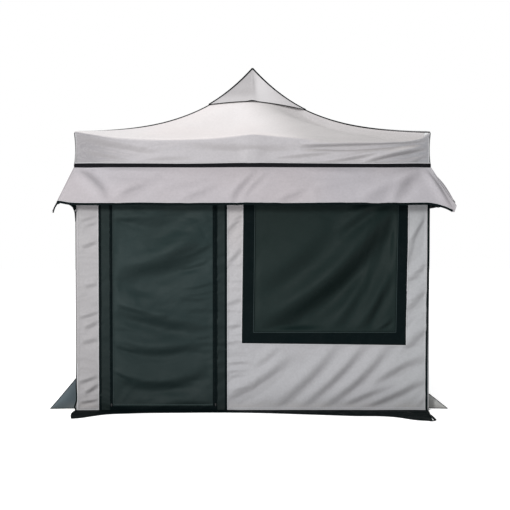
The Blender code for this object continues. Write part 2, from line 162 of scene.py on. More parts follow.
DOOR_FOLDS = (
    (-1.170, 1.650, -1.000, 1.585, -0.740, 1.610, 0.039, 0.0099),
    (-0.860, 1.330, -0.660, 1.500, -0.400, 1.700, 0.081, -0.0171),
    (-1.150, 1.160, -0.780, 1.180, -0.360, 1.400, 0.086, 0.0363),
    (-1.170, 0.990, -0.950, 0.985, -0.700, 0.950, 0.046, -0.0091),
    (-1.170, 0.870, -0.840, 0.740, -0.380, 0.680, 0.057, 0.0232),
    (-1.170, 0.575, -0.800, 0.415, -0.360, 0.590, 0.046, 0.0181),
    (-1.170, 0.305, -0.800, 0.100, -0.360, 0.350, 0.051, 0.0202),
    (-0.620, 0.955, -0.480, 0.925, -0.360, 0.965, 0.023, 0.0043),
    (-0.560, 0.505, -0.450, 0.480, -0.360, 0.515, 0.021, 0.0036),
    (-0.600, 0.840, -0.480, 0.830, -0.360, 0.870, 0.023, 0.0036),
    (-1.170, 0.710, -1.080, 0.680, -0.980, 0.660, 0.021, 0.0036),
    (-0.600, 1.035, -0.480, 1.030, -0.350, 1.075, 0.013, 0.0048),
    (-0.560, 0.985, -0.450, 0.975, -0.350, 1.005, 0.012, 0.0044),
    (-0.620, 1.190, -0.480, 1.210, -0.350, 1.275, 0.016, 0.0056),
    (-0.560, 1.300, -0.460, 1.330, -0.350, 1.400, 0.016, 0.0048),
    (-0.520, 0.620, -0.440, 0.600, -0.350, 0.635, 0.012, 0.0044),
    (-1.170, 0.555, -1.080, 0.510, -0.960, 0.487, 0.014, 0.0064),
    (-1.170, 0.345, -1.100, 0.290, -1.020, 0.262, 0.014, 0.0064),
    (-1.170, 0.905, -1.020, 0.855, -0.840, 0.805, 0.018, 0.0056),
    (-1.170, 1.620, -1.060, 1.606, -0.940, 1.625, 0.016, 0.0056),
    (-0.800, 0.230, -0.620, 0.180, -0.420, 0.215, 0.034, 0.0054),
)
PANE_FOLDS = (
    (0.080, 0.675, 0.850, 1.040, 1.215, 1.735, 0.095, 0.0560),
    (0.690, 0.660, 0.950, 0.980, 1.130, 1.400, 0.050, 0.0160),
    (0.930, 0.660, 1.080, 0.900, 1.200, 1.170, 0.040, 0.0160),
    (1.080, 0.665, 1.140, 0.715, 1.220, 0.790, 0.018, 0.0090),
    (0.720, 1.480, 0.950, 1.670, 1.140, 1.820, 0.044, 0.0140),
    (0.040, 1.000, 0.400, 1.180, 0.720, 1.560, 0.095, 0.0150),
)
WALL_FOLDS = (
    (0.180, 0.010, 0.540, 0.240, 0.760, 0.600, 0.048, 0.0086),
    (0.400, 0.010, 0.770, 0.260, 1.000, 0.590, 0.040, 0.0086),
    (0.580, 0.010, 0.980, 0.220, 1.190, 0.590, 0.042, 0.0092),
    (0.720, 0.010, 0.940, 0.120, 1.260, 0.220, 0.034, 0.0063),
    (0.920, 0.010, 1.220, 0.100, 1.490, 0.270, 0.034, 0.0075),
    (1.000, 0.190, 1.260, 0.370, 1.490, 0.460, 0.038, 0.0075),
    (-0.210, 0.100, 0.080, 0.195, 0.360, 0.480, 0.050, 0.0096),
    (0.020, 0.355, 0.130, 0.425, 0.260, 0.545, 0.034, 0.0046),
    (1.290, 1.160, 1.380, 1.450, 1.490, 1.710, 0.037, 0.0112),
    (1.310, 1.370, 1.370, 1.500, 1.460, 1.620, 0.027, 0.0070),
    (1.310, 1.080, 1.410, 1.160, 1.490, 1.270, 0.033, 0.0075),
    (1.310, 0.820, 1.400, 0.930, 1.490, 1.060, 0.040, 0.0084),
    (1.310, 0.520, 1.400, 0.610, 1.490, 0.720, 0.040, 0.0084),
    (-0.220, 1.500, -0.160, 1.560, -0.080, 1.680, 0.026, 0.0048),
    (-0.220, 1.230, -0.160, 1.280, -0.080, 1.390, 0.026, 0.0048),
    (-0.220, 0.900, -0.160, 0.910, -0.080, 0.950, 0.026, 0.0042),
    (-0.220, 0.690, -0.160, 0.700, -0.080, 0.740, 0.024, 0.0036),
    (-1.460, 1.602, -1.390, 1.610, -1.310, 1.650, 0.020, 0.0055),
    (-1.430, 1.555, -1.370, 1.565, -1.300, 1.605, 0.020, 0.0050),
    (-1.440, 1.385, -1.380, 1.395, -1.310, 1.435, 0.018, 0.0065),
    (-1.420, 1.048, -1.360, 1.056, -1.300, 1.075, 0.022, 0.0055),
    (-1.470, 0.786, -1.390, 0.795, -1.290, 0.845, 0.018, 0.0070),
    (-1.420, 0.700, -1.370, 0.708, -1.300, 0.765, 0.022, 0.0065),
    (-1.450, 0.575, -1.380, 0.580, -1.300, 0.610, 0.022, 0.0060),
    (-1.480, 0.238, -1.400, 0.250, -1.310, 0.293, 0.018, 0.0075),
    (-1.420, 0.150, -1.370, 0.160, -1.300, 0.230, 0.020, 0.0090),
    (-1.460, 0.069, -1.380, 0.070, -1.300, 0.094, 0.014, 0.0060),
)
# On the roof the second number of each pair is the distance in from the eave
ROOF_FOLDS = (
    (0.10, 1.080, 0.46, 0.720, 1.15, 0.160, 0.130, -0.0300),
    (0.60, 0.300, 1.00, 0.160, 1.42, 0.060, 0.060, -0.0090),
    (-0.95, 0.130, -0.50, 0.420, -0.12, 0.900, 0.160, 0.0120),
)


class TentSizes(bpy.types.PropertyGroup):
    """Sizes of the trims and of the cloth's relief."""

    cloth: bpy.props.FloatProperty(
        name="Cloth", description="Thickness of the cloth", default=0.0016, min=0.0005, max=0.004, unit="LENGTH")
    cell: bpy.props.FloatProperty(
        name="Cell", description="Mesh size of the front's cloth", default=0.014, min=0.008, max=0.1, unit="LENGTH")
    piping: bpy.props.FloatProperty(
        name="Piping", description="Radius of the roof's piping", default=0.0050, min=0.002, max=0.01, unit="LENGTH")
    binding: bpy.props.FloatProperty(
        name="Binding", description="Height of the binding on the skirt's hem", default=0.024, min=0.008,
        max=0.03, unit="LENGTH")
    hem: bpy.props.FloatProperty(
        name="Hem", description="Width of a folded hem", default=0.026, min=0.01, max=0.05, unit="LENGTH")
    stitch: bpy.props.FloatProperty(
        name="Stitch", description="Length of one stitch", default=0.0042, min=0.002, max=0.01, unit="LENGTH")
    fold_depth: bpy.props.FloatProperty(
        name="Folds", description="Strength of the single folds", default=1.35, min=0.0, max=2.0, subtype="FACTOR")
    crinkle: bpy.props.FloatProperty(
        name="Crinkles", description="Height of the small wrinkles", default=0.0024, min=0.0, max=0.005,
        unit="LENGTH")
    camera_distance: bpy.props.FloatProperty(
        name="Camera distance", description="From the camera to the front wall", default=8.0, min=4.0, max=20.0,
        unit="LENGTH")
    camera_height: bpy.props.FloatProperty(
        name="Camera height", description="Height of the camera", default=1.5, min=0.5, max=3.0, unit="LENGTH")
    lens: bpy.props.FloatProperty(
        name="Lens", description="Focal length for a 36 mm wide sensor", default=66.85, min=20, max=200, unit="CAMERA")


def colour_property(name, default, description):
    """A colour that a user can change."""
    return bpy.props.FloatVectorProperty(
        name=name, description=description, default=default, size=3, min=0.0, max=1.0, subtype="COLOR")


class TentColours(bpy.types.PropertyGroup):
    """Colours of the cloths, webbing, steel and stage."""

    # Roof and fascia are one cloth: the roof's paler colour is painted light where the cloth faces the sky.
    roof: colour_property("Roof", (0.395, 0.378, 0.380), "Cloth of the roof")
    cap: colour_property("Vent cap", (0.204, 0.198, 0.203), "Cloth of the vent cap")
    fascia: colour_property("Fascia", (0.249, 0.242, 0.254), "Cloth of the fascia, less bleached by the sun")
    skirt: colour_property("Skirt", (0.240, 0.230, 0.244), "Cloth of the eave skirt")
    wall: colour_property("Wall", (0.258, 0.252, 0.259), "Cloth of the walls")
    tape: colour_property("Light tape", (0.30, 0.30, 0.31), "Narrow tapes sewn along the light seams")
    dark: colour_property("Door", (0.0100, 0.0184, 0.0184), "Dark cloth of the door")
    strip: colour_property("Door strips", (0.0054, 0.0110, 0.0110), "Dark cloth beside the door's zips")
    pane: colour_property("Window", (0.0046, 0.0102, 0.0096), "Dark cloth of the window blind")
    black: colour_property("Black", (0.0009, 0.0029, 0.0033), "Webbing, zips and binding")
    storm: colour_property("Storm flap", (0.037, 0.050, 0.057), "Storm flaps of the left-hand corners")
    storm_warm: colour_property("Warm storm flap", (0.228, 0.226, 0.219), "Storm flaps of the right-hand corners")
    steel: colour_property("Steel", (0.58, 0.59, 0.60), "Coated tubes of the frame")
    floor: colour_property("Floor", (0.78, 0.78, 0.78), "Studio floor")


# Surfaces

def new_material(name):
    """A material with a Principled shader, its node tree and that shader."""
    surface = bpy.data.materials.new(name)
    surface.use_nodes = True
    return surface, surface.node_tree, surface.node_tree.nodes["Principled BSDF"]


def add_node(tree, kind, **values):
    """A node with its properties and unlinked inputs set."""
    node = tree.nodes.new(kind)
    for key, value in values.items():
        if key in node.inputs:
            node.inputs[key].default_value = value
        else:
            setattr(node, key, value)
    return node


def place_coordinates(tree):
    """The place on the object, in metres."""
    return tree.nodes.new("ShaderNodeTexCoord").outputs["Object"]


def noise(tree, where, scale, detail=2.0, stretch=None):
    """A soft noise over the place, stretched where asked."""
    if stretch:
        mapping = add_node(tree, "ShaderNodeMapping", Scale=stretch)
        tree.links.new(where, mapping.inputs["Vector"])
        where = mapping.outputs["Vector"]
    node = add_node(tree, "ShaderNodeTexNoise", Scale=scale, Detail=detail)
    tree.links.new(where, node.inputs["Vector"])
    return node.outputs["Fac"]


def ramp(tree, value, low, high, to_low, to_high):
    """A value moved from one range to another."""
    node = add_node(tree, "ShaderNodeMapRange", interpolation_type="SMOOTHSTEP")
    for name, number in (("From Min", low), ("From Max", high), ("To Min", to_low), ("To Max", to_high)):
        node.inputs[name].default_value = number
    tree.links.new(value, node.inputs["Value"])
    return node.outputs["Result"]


def mixed(tree, factor, first, second, blend="MIX"):
    """Two colours mixed; each is a colour or a socket."""
    node = add_node(tree, "ShaderNodeMix", data_type="RGBA", blend_type=blend)
    for socket, value in ((node.inputs[6], first), (node.inputs[7], second)):
        if isinstance(value, bpy.types.NodeSocket):
            tree.links.new(value, socket)
        else:
            socket.default_value = (*value, 1.0)
    if isinstance(factor, bpy.types.NodeSocket):
        tree.links.new(factor, node.inputs[0])
    else:
        node.inputs[0].default_value = factor
    return node.outputs[2]


def joined(tree, operation, *values):
    """Sockets put together one after another by a sum."""
    total = values[0]
    for value in values[1:]:
        node = add_node(tree, "ShaderNodeMath", operation=operation)
        tree.links.new(total, node.inputs[0])
        tree.links.new(value, node.inputs[1])
        total = node.outputs["Value"]
    return total


def size_of(tree, value):
    """A value without its sign."""
    node = add_node(tree, "ShaderNodeMath", operation="ABSOLUTE")
    tree.links.new(value, node.inputs[0])
    return node.outputs["Value"]


def bump(tree, height, strength, distance, under=None):
    """A bump on top of another."""
    node = add_node(tree, "ShaderNodeBump", Strength=strength, Distance=distance)
    tree.links.new(height, node.inputs["Height"])
    if under is not None:
        tree.links.new(under, node.inputs["Normal"])
    return node.outputs["Normal"]


def weave(tree, where, thread):
    """Warp and weft: three sets of bands, of which two show on any side."""
    total = None
    for direction in ("X", "Y", "Z"):
        bands = add_node(tree, "ShaderNodeTexWave", bands_direction=direction, Scale=0.314 / thread,
                         Distortion=0.4, Detail=1.0)
        tree.links.new(where, bands.inputs["Vector"])
        if total is None:
            total = bands.outputs["Fac"]
            continue
        joined = add_node(tree, "ShaderNodeMath", operation="ADD")
        tree.links.new(total, joined.inputs[0])
        tree.links.new(bands.outputs["Fac"], joined.inputs[1])
        total = joined.outputs["Value"]
    return total


def cloth_material(name, colour, roughness, tint, thread=0.0016, weave_depth=0.25, soil=0.0, sheen=0.05,
                   gloss=0.3, corner=None, foot=None, left_foot_shade=1.0, shaded_fascia_colour=None):
    """Coated woven cloth: broad tints, a fine weave, small creases and some dust at the foot, with painted shade
    towards the corners, towards the foot and on down-facing slopes, and on a roof painted light where the cloth faces
    up.
    """
    surface, tree, shader = new_material(name)
    where = place_coordinates(tree)
    warm = tuple(min(1.0, c * f) for c, f in zip(colour, (1 + tint, 1.0, 1 - tint * 0.3)))
    cool = tuple(min(1.0, c * f) for c, f in zip(colour, (1 - tint, 1.0, 1 + tint * 0.7)))
    axes = add_node(tree, "ShaderNodeSeparateXYZ")
    tree.links.new(where, axes.inputs["Vector"])
    broad = add_node(tree, "ShaderNodeMath", operation="MULTIPLY")
    tree.links.new(ramp(tree, noise(tree, where, 0.9, 3.0), 0.35, 0.65, 0.4, 1.0), broad.inputs[0])
    tree.links.new(ramp(tree, axes.outputs["Z"], 0.0, 1.7, 0.0, 1.0), broad.inputs[1])
    shade = mixed(tree, broad.outputs["Value"], cool, warm)
    # Painted shade: the colour darkens towards the ends of each side, near the corners.
    corner_shade_mask = ramp(tree, joined(tree, "MINIMUM", size_of(tree, axes.outputs["X"]),
                                    size_of(tree, axes.outputs["Y"])), 0.90, 1.46, 0.0, 1.0)
    facing = add_node(tree, "ShaderNodeSeparateXYZ")
    tree.links.new(tree.nodes.new("ShaderNodeNewGeometry").outputs["Normal"], facing.inputs["Vector"])
    on_right = ramp(tree, axes.outputs["X"], -0.10, 0.10, 0.0, 1.0)
    # Painted shade: darker towards the foot.
    if foot:
        shade = mixed(tree, ramp(tree, axes.outputs["Z"], 0.0, 1.5, 1.0, 0.0), shade,
                      tuple(c * f for c, f in zip(colour, foot)))
    if shaded_fascia_colour:
        # Painted shade on the front of the roof to the right of its middle.
        tilted = add_node(tree, "ShaderNodeVectorMath", operation="DOT_PRODUCT")
        tree.links.new(where, tilted.inputs[0])
        tilted.inputs[1].default_value = (1.0, 0.0, 0.8)
        shaded_side = joined(
            tree, "MULTIPLY", ramp(tree, tilted.outputs["Value"], 1.98, 2.46, 0.0, 1.0),
            ramp(tree, joined(tree, "ADD", axes.outputs["X"], axes.outputs["Y"]), -0.04, 0.04, 1.0, 0.0))
        shade = mixed(tree, shaded_side, shade, tuple(c * 0.60 for c in colour))
        # Painted shade towards the fascia's ends, then painted light: where the cloth faces up it takes the paler roof
        # colour, and where it stands upright it takes the darker fascia colour.
        ends = [tuple(c * f for c, f in zip(shaded_fascia_colour, end)) for end in corner]
        upright = mixed(tree, corner_shade_mask, shaded_fascia_colour, mixed(tree, on_right, *ends))
        shade = mixed(tree, ramp(tree, facing.outputs["Z"], 0.20, 0.92, 0.0, 1.0), upright, shade)
    # Painted shade towards the corners of walls and hems.
    elif corner:
        ends = [tuple(c * f for c, f in zip(colour, end)) for end in corner]
        shade = mixed(tree, corner_shade_mask, shade, mixed(tree, on_right, *ends))
    # Painted shade: the left-hand strip of a wall darker towards its foot.
    if left_foot_shade < 1:
        patch = joined(tree, "MULTIPLY", ramp(tree, axes.outputs["X"], -1.32, -1.12, 1.0, 0.0),
                       ramp(tree, axes.outputs["Z"], 0.3, 1.5, 1.0, 0.05))
        shade = mixed(tree, patch, shade, tuple(c * left_foot_shade for c in colour))
    # Painted shade: cloth whose slopes face down, under folds and creases, is darker.
    shade = mixed(tree, ramp(tree, facing.outputs["Z"], -0.35, 0.12, 0.40, 0.0), shade, tuple(c * 0.4 for c in colour))
    threads = weave(tree, where, thread)
    darker = tuple(c * 0.90 for c in (1.0, 1.0, 1.0))
    speck = mixed(tree, ramp(tree, noise(tree, where, 55.0, 4.0), 0.3, 0.7, 0.0, 1.0), darker, (1.0, 1.0, 1.0))
    shade = mixed(tree, 0.7, shade, speck, "MULTIPLY")
    shade = mixed(tree, ramp(tree, threads, 0.6, 2.2, 0.30, 0.0), shade, tuple(c * 0.72 for c in colour))
    if soil:
        low = ramp(tree, axes.outputs["Z"], 0.0, 0.10, soil, 0.0)
        patchy = add_node(tree, "ShaderNodeMath", operation="MULTIPLY")
        tree.links.new(low, patchy.inputs[0])
        tree.links.new(ramp(tree, noise(tree, where, 7.0, 4.0), 0.35, 0.7, 0.2, 1.0), patchy.inputs[1])
        shade = mixed(tree, patchy.outputs["Value"], shade, (0.26, 0.23, 0.19))
    tree.links.new(shade, shader.inputs["Base Color"])
    rough = ramp(tree, noise(tree, where, 5.0, 3.0), 0.3, 0.7, roughness - 0.05, roughness + 0.06)
    tree.links.new(rough, shader.inputs["Roughness"])
    shader.inputs["Sheen Weight"].default_value = sheen
    shader.inputs["Sheen Roughness"].default_value = 0.45
    shader.inputs["Specular IOR Level"].default_value = gloss
    creases = bump(tree, noise(tree, where, 16.0, 4.0), 0.20, 0.004)
    normal = bump(tree, threads, weave_depth, 0.0006, creases)
    tree.links.new(normal, shader.inputs["Normal"])
    return surface


def cap_material(name, colour):
    """The cap's cloth, with painted light: paler in a patch beside its middle seam and towards its lip."""
    surface = cloth_material(name, colour, 0.62, 0.02)
    tree = surface.node_tree
    shader = tree.nodes["Principled BSDF"]
    woven = shader.inputs["Base Color"].links[0].from_socket
    axes = add_node(tree, "ShaderNodeSeparateXYZ")
    tree.links.new(place_coordinates(tree), axes.inputs["Vector"])
    # Painted light: a paler patch to the right of the middle seam.
    rising = ramp(tree, axes.outputs["X"], -0.02, 0.07, 0.0, 1.0)
    falling = ramp(tree, axes.outputs["X"], 0.10, 0.42, 1.0, 0.1)
    patch = add_node(tree, "ShaderNodeMath", operation="MULTIPLY")
    tree.links.new(rising, patch.inputs[0])
    tree.links.new(falling, patch.inputs[1])
    painted_light_colour = tuple(min(1.0, c * 1.42) for c in colour)
    patched = mixed(tree, patch.outputs["Value"], woven, painted_light_colour)
    # Painted light towards the lip.
    lip_light_mask = ramp(tree, axes.outputs["Z"], 2.78, 2.88, 0.55, 0.0)
    tree.links.new(mixed(tree, lip_light_mask, patched, painted_light_colour), shader.inputs["Base Color"])
    return surface


def webbing_material(name, colour, rib=0.0028):
    """Black ribbed tape with dull edges and a little lint."""
    surface, tree, shader = new_material(name)
    where = place_coordinates(tree)
    lint = ramp(tree, noise(tree, where, 70.0, 5.0), 0.55, 0.85, 0.0, 0.7)
    lighter = tuple(min(1.0, c * 2.0 + 0.003) for c in colour)
    tree.links.new(mixed(tree, lint, colour, lighter), shader.inputs["Base Color"])
    rough = ramp(tree, noise(tree, where, 9.0, 3.0), 0.3, 0.7, 0.58, 0.76)
    tree.links.new(rough, shader.inputs["Roughness"])
    shader.inputs["Specular IOR Level"].default_value = 0.03
    creases = bump(tree, noise(tree, where, 24.0, 3.0), 0.15, 0.003)
    ribs = weave(tree, where, rib)
    tree.links.new(bump(tree, ribs, 0.4, 0.0007, creases), shader.inputs["Normal"])
    return surface


def steel_material(name, colour):
    """Powder-coated steel with fine orange peel, rubbed brighter in places."""
    surface, tree, shader = new_material(name)
    where = place_coordinates(tree)
    worn = ramp(tree, noise(tree, where, 11.0, 5.0), 0.55, 0.75, 0.0, 0.6)
    rubbed = tuple(min(1.0, c * 1.25) for c in colour)
    tree.links.new(mixed(tree, worn, colour, rubbed), shader.inputs["Base Color"])
    rough = ramp(tree, noise(tree, where, 26.0, 4.0), 0.3, 0.7, 0.30, 0.48)
    tree.links.new(rough, shader.inputs["Roughness"])
    shader.inputs["Metallic"].default_value = 0.85
    tree.links.new(bump(tree, noise(tree, where, 420.0, 2.0), 0.10, 0.0004), shader.inputs["Normal"])
    return surface


def plastic_material(name, colour):
    """Dark moulded plastic with a fine grain."""
    surface, tree, shader = new_material(name)
    where = place_coordinates(tree)
    scuffs = ramp(tree, noise(tree, where, 40.0, 5.0), 0.55, 0.8, 0.0, 0.5)
    tree.links.new(mixed(tree, scuffs, colour, tuple(c * 2.4 for c in colour)), shader.inputs["Base Color"])
    rough = ramp(tree, noise(tree, where, 30.0, 3.0), 0.3, 0.7, 0.38, 0.55)
    tree.links.new(rough, shader.inputs["Roughness"])
    shader.inputs["Specular IOR Level"].default_value = 0.2
    tree.links.new(bump(tree, noise(tree, where, 600.0, 2.0), 0.15, 0.0003), shader.inputs["Normal"])
    return surface


def surface_named(name):
    """One of the tent's finishes, made when it is first asked for."""
    if name in bpy.data.materials:
        return bpy.data.materials[name]
    colours = bpy.context.scene.tent_colours
    # Painted shade: wall and hem colours darker towards the corners.
    wall_corner_shade = ((0.86, 0.86, 0.86), (0.894, 0.943, 0.955))
    # Painted shade: the walls and hems darker towards the foot.
    wall_foot_shade = (0.885, 0.915, 0.935)
    makers = {
        # Painted light on the roof's upward faces; painted shade on its front right and towards the fascia's corners.
        "roof_finish": lambda: cloth_material(name, tuple(colours.roof), 0.62, 0.02, corner=((0.60, 0.60, 0.61), (0.61, 0.64, 0.66)),
                                              shaded_fascia_colour=tuple(colours.fascia)),
        "cap_finish": lambda: cap_material(name, tuple(colours.cap)),
        "skirt_finish": lambda: cloth_material(name, tuple(colours.skirt), 0.66, 0.03),
        "wall_finish": lambda: cloth_material(name, tuple(colours.wall), 0.70, 0.035, soil=0.18, corner=wall_corner_shade,
                                              foot=wall_foot_shade, left_foot_shade=0.74),
        "hem_finish": lambda: cloth_material(name, tuple(min(1, c * 1.03) for c in colours.wall), 0.66, 0.02,
                                             corner=wall_corner_shade, foot=wall_foot_shade, left_foot_shade=0.74),
        "dark_tape_finish": lambda: cloth_material(name, (0.016, 0.026, 0.026), 0.55, 0.02, 0.0010, gloss=0.08),
        "tape_finish": lambda: cloth_material(name, tuple(colours.tape), 0.60, 0.01, 0.0010),
        # Painted shade: the door and its strips darker towards the foot.
        "dark_finish": lambda: cloth_material(name, tuple(colours.dark), 0.52, 0.06, 0.0018, 0.3, 0.01, 0.0, 0.08,
                                              foot=(0.72, 0.72, 0.72)),
        "strip_finish": lambda: cloth_material(name, tuple(colours.strip), 0.52, 0.06, 0.0018, 0.3, 0.01, 0.0, 0.08,
                                               foot=(0.80, 0.80, 0.80)),
        "pane_finish": lambda: cloth_material(name, tuple(colours.pane), 0.50, 0.05, 0.0018, 0.3, 0.0, 0.0, 0.07),
        "storm_finish": lambda: cloth_material(name, tuple(colours.storm), 0.64, 0.06, soil=0.10),
        "storm_warm_finish": lambda: cloth_material(name, tuple(colours.storm_warm), 0.64, 0.03, soil=0.10),
        "band_finish": lambda: webbing_material(name, (0.0036, 0.0038, 0.0048)),
        "black_finish": lambda: webbing_material(name, tuple(colours.black)),
        "steel_finish": lambda: steel_material(name, tuple(colours.steel)),
        "plastic_finish": lambda: plastic_material(name, (0.018, 0.019, 0.020)),
        "thread_light_finish": lambda: cloth_material(name, (0.42, 0.41, 0.42), 0.5, 0.02, 0.0008),
        "thread_dark_finish": lambda: cloth_material(name, (0.012, 0.016, 0.016), 0.5, 0.02, 0.0008),
    }
    return makers[name]()


# Relief of the cloth, worked out for whole grids of places

def smooth_noise(x, y, seed):
    """Soft random relief between -1 and 1, with about one bump a unit."""
    size = 61
    table = np.random.default_rng(seed).uniform(-1, 1, (size, size))
    column = np.floor(x).astype(int)
    row = np.floor(y).astype(int)
    fx = x - column
    fy = y - row
    fx = fx ** 3 * (fx * (fx * 6 - 15) + 10)
    fy = fy ** 3 * (fy * (fy * 6 - 15) + 10)
    near = table[row % size, column % size] * (1 - fx) + table[row % size, (column + 1) % size] * fx
    far = table[(row + 1) % size, column % size] * (1 - fx) + table[(row + 1) % size, (column + 1) % size] * fx
    return near * (1 - fy) + far * fy


def crinkles(x, y, degrees, length, width, seed):
    """Small wrinkles, long in one direction and narrow across it, that wander a little."""
    angle = np.radians(degrees) + 0.35 * smooth_noise(x / 0.7, y / 0.7, seed + 7)
    along = x * np.cos(angle) + y * np.sin(angle)
    across = y * np.cos(angle) - x * np.sin(angle)
    across = across + 0.6 * width * smooth_noise(x / length, y / length, seed + 1)
    large = smooth_noise(along / length, across / width, seed)
    small = smooth_noise(along / length * 2.3, across / width * 2.1, seed + 2)
    strength = 0.55 + 0.45 * smooth_noise(x / 0.45, y / 0.45, seed + 3)
    return (large + 0.4 * small) * strength


def fold_relief(x, y, folds):
    """Relief of single folds: a roll above each curve and a dent below it, gone at both ends."""
    relief = np.zeros(np.shape(x))
    steps = np.linspace(0, 1, 15)
    for x0, y0, x1, y1, x2, y2, width, height in folds:
        curve_x = (1 - steps) ** 2 * x0 + 2 * steps * (1 - steps) * x1 + steps ** 2 * x2
        curve_y = (1 - steps) ** 2 * y0 + 2 * steps * (1 - steps) * y1 + steps ** 2 * y2
        nearest = np.full(np.shape(x), 1e9)
        along = np.zeros(np.shape(x))
        for index in range(len(steps) - 1):
            run_x = curve_x[index + 1] - curve_x[index]
            run_y = curve_y[index + 1] - curve_y[index]
            from_x = x - curve_x[index]
            from_y = y - curve_y[index]
            part = np.clip((from_x * run_x + from_y * run_y) / (run_x ** 2 + run_y ** 2), 0, 1)
            distance = np.hypot(from_x - part * run_x, from_y - part * run_y)
            closer = distance < nearest
            nearest = np.where(closer, distance, nearest)
            along = np.where(closer, steps[index] + part * steps[1], along)
        run_x = (1 - along) * (x1 - x0) + along * (x2 - x1)
        run_y = (1 - along) * (y1 - y0) + along * (y2 - y1)
        from_x = x - ((1 - along) ** 2 * x0 + 2 * along * (1 - along) * x1 + along ** 2 * x2)
        from_y = y - ((1 - along) ** 2 * y0 + 2 * along * (1 - along) * y1 + along ** 2 * y2)
        across = (run_x * from_y - run_y * from_x) / np.hypot(run_x, run_y) / width
        beyond = (nearest / width) ** 2
        fade = np.sin(np.pi * np.clip(along, 0, 1)) ** 0.8
        relief += height * fade * across * np.exp(0.5 - beyond / 2)
    return relief * bpy.context.scene.tent_sizes.fold_depth


def ease(value, low, high):
    """0 below low, 1 above high and smooth between."""
    part = np.clip((value - low) / (high - low), 0, 1)
    return part * part * (3 - 2 * part)


def held_edges(value, low, high, reach):
    """0 at both ends of a stretch, where the cloth is sewn, and 1 past a short reach from them."""
    return ease(value - low, 0, reach) * ease(high - value, 0, reach)


# Meshes

def turned(points, degrees):
    """Points turned about the tent's middle."""
    angle = math.radians(degrees)
    points = np.asarray(points, float)
    x = points[..., 0] * math.cos(angle) - points[..., 1] * math.sin(angle)
    y = points[..., 0] * math.sin(angle) + points[..., 1] * math.cos(angle)
    return np.stack([x, y, points[..., 2]], -1)


def grid_faces(rows, columns, start=0, keep=None):
    """Quads of a grid of points, counted from start; keep says which cells are cloth."""
    numbers = start + np.arange(rows * columns).reshape(rows, columns)
    corners = (numbers[:-1, :-1], numbers[:-1, 1:], numbers[1:, 1:], numbers[1:, :-1])
    quads = np.stack([c for c in corners], -1).reshape(-1, 4)
    if keep is not None:
        quads = quads[keep.reshape(-1)]
    return quads


def mesh_piece(name, points, faces, surface, smooth=True):
    """A named mesh that rides on the tent and takes its finish from a slot."""
    mesh = bpy.data.meshes.new(name)
    mesh.from_pydata(np.asarray(points).reshape(-1, 3).tolist(), [], np.asarray(faces).tolist())
    mesh.validate()
    if smooth:
        mesh.shade_smooth()
    mesh.materials.append(surface_named(surface))
    piece = bpy.data.objects.new(name, mesh)
    bpy.context.scene.collection.objects.link(piece)
    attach(piece, "root")
    return piece


def clean_sheet(piece, outward_from=(0, 0, 1.2), weld=0.0004):
    """Weld the cloth's seams, drop loose points, face it outwards and keep its edges crisp."""
    bm = bmesh.new()
    bm.from_mesh(piece.data)
    if weld:
        bmesh.ops.remove_doubles(bm, verts=bm.verts, dist=weld)
    loose = [vertex for vertex in bm.verts if not vertex.link_faces]
    bmesh.ops.delete(bm, geom=loose, context="VERTS")
    bmesh.ops.recalc_face_normals(bm, faces=bm.faces)
    middle = Vector(outward_from)
    facing = sum(face.normal.dot(face.calc_center_median() - middle) for face in bm.faces)
    if facing < 0:
        bmesh.ops.reverse_faces(bm, faces=bm.faces)
    for edge in bm.edges:
        if edge.is_boundary:
            edge.smooth = False
    bm.to_mesh(piece.data)
    bm.free()


def thicken(piece, thickness, offset=-1.0):
    """Give a sheet its thickness, inwards from the face that shows."""
    solid = piece.modifiers.new("thickness", "SOLIDIFY")
    solid.thickness = thickness
    solid.offset = offset
    solid.use_even_offset = False


def cloth_piece(name, grids, surface, keep=None, thickness=None):
    """A sheet of cloth through one or more grids of points."""
    points = []
    faces = []
    count = 0
    for grid in grids:
        rows, columns = grid.shape[:2]
        faces.append(grid_faces(rows, columns, count, keep))
        points.append(grid.reshape(-1, 3))
        count += rows * columns
    piece = mesh_piece(name, np.concatenate(points), np.concatenate(faces), surface)
    clean_sheet(piece)
    thicken(piece, thickness or bpy.context.scene.tent_sizes.cloth)
    return piece


def steps_between(places, cell):
    """Grid lines that pass through every given place and are about a cell apart."""
    lines = [places[0]]
    for low, high in zip(places, places[1:]):
        count = max(1, round((high - low) / cell))
        lines.extend(np.linspace(low, high, count + 1)[1:])
    return np.array(lines)


def tube_points(path, radius_out, radius_side, outward, sides=8):
    """Rings of points round a path, oval in section, with outward giving each ring's long way out."""
    path = np.asarray(path, float)
    run = np.gradient(path, axis=0)
    run /= np.linalg.norm(run, axis=1, keepdims=True)
    outward = np.asarray(outward, float) * np.ones_like(path)
    outward -= (outward * run).sum(1, keepdims=True) * run
    outward /= np.linalg.norm(outward, axis=1, keepdims=True)
    beside = np.cross(run, outward)
    turn = np.linspace(0, 2 * np.pi, sides, endpoint=False)
    out_size = (np.ones(len(path)) * radius_out)[:, None, None]
    side_size = (np.ones(len(path)) * radius_side)[:, None, None]
    ring = (np.cos(turn)[None, :, None] * out_size * outward[:, None, :]
            + np.sin(turn)[None, :, None] * side_size * beside[:, None, :])
    return path[:, None, :] + ring


def add_tube(points, faces, path, radius_out, radius_side, outward, sides=8):
    """Add a closed oval tube with filled ends to the lists of points and faces."""
    rings = tube_points(path, radius_out, radius_side, outward, sides)
    start = sum(len(p) for p in points)
    count = len(rings)
    numbers = start + np.arange(count * sides).reshape(count, sides)
    after = np.roll(numbers, -1, axis=1)
    quads = np.stack([numbers[:-1], after[:-1], after[1:], numbers[1:]], -1).reshape(-1, 4)
    points.append(rings.reshape(-1, 3))
    faces.extend(quads.tolist())
    faces.append(numbers[0][::-1].tolist())
    faces.append(numbers[-1].tolist())


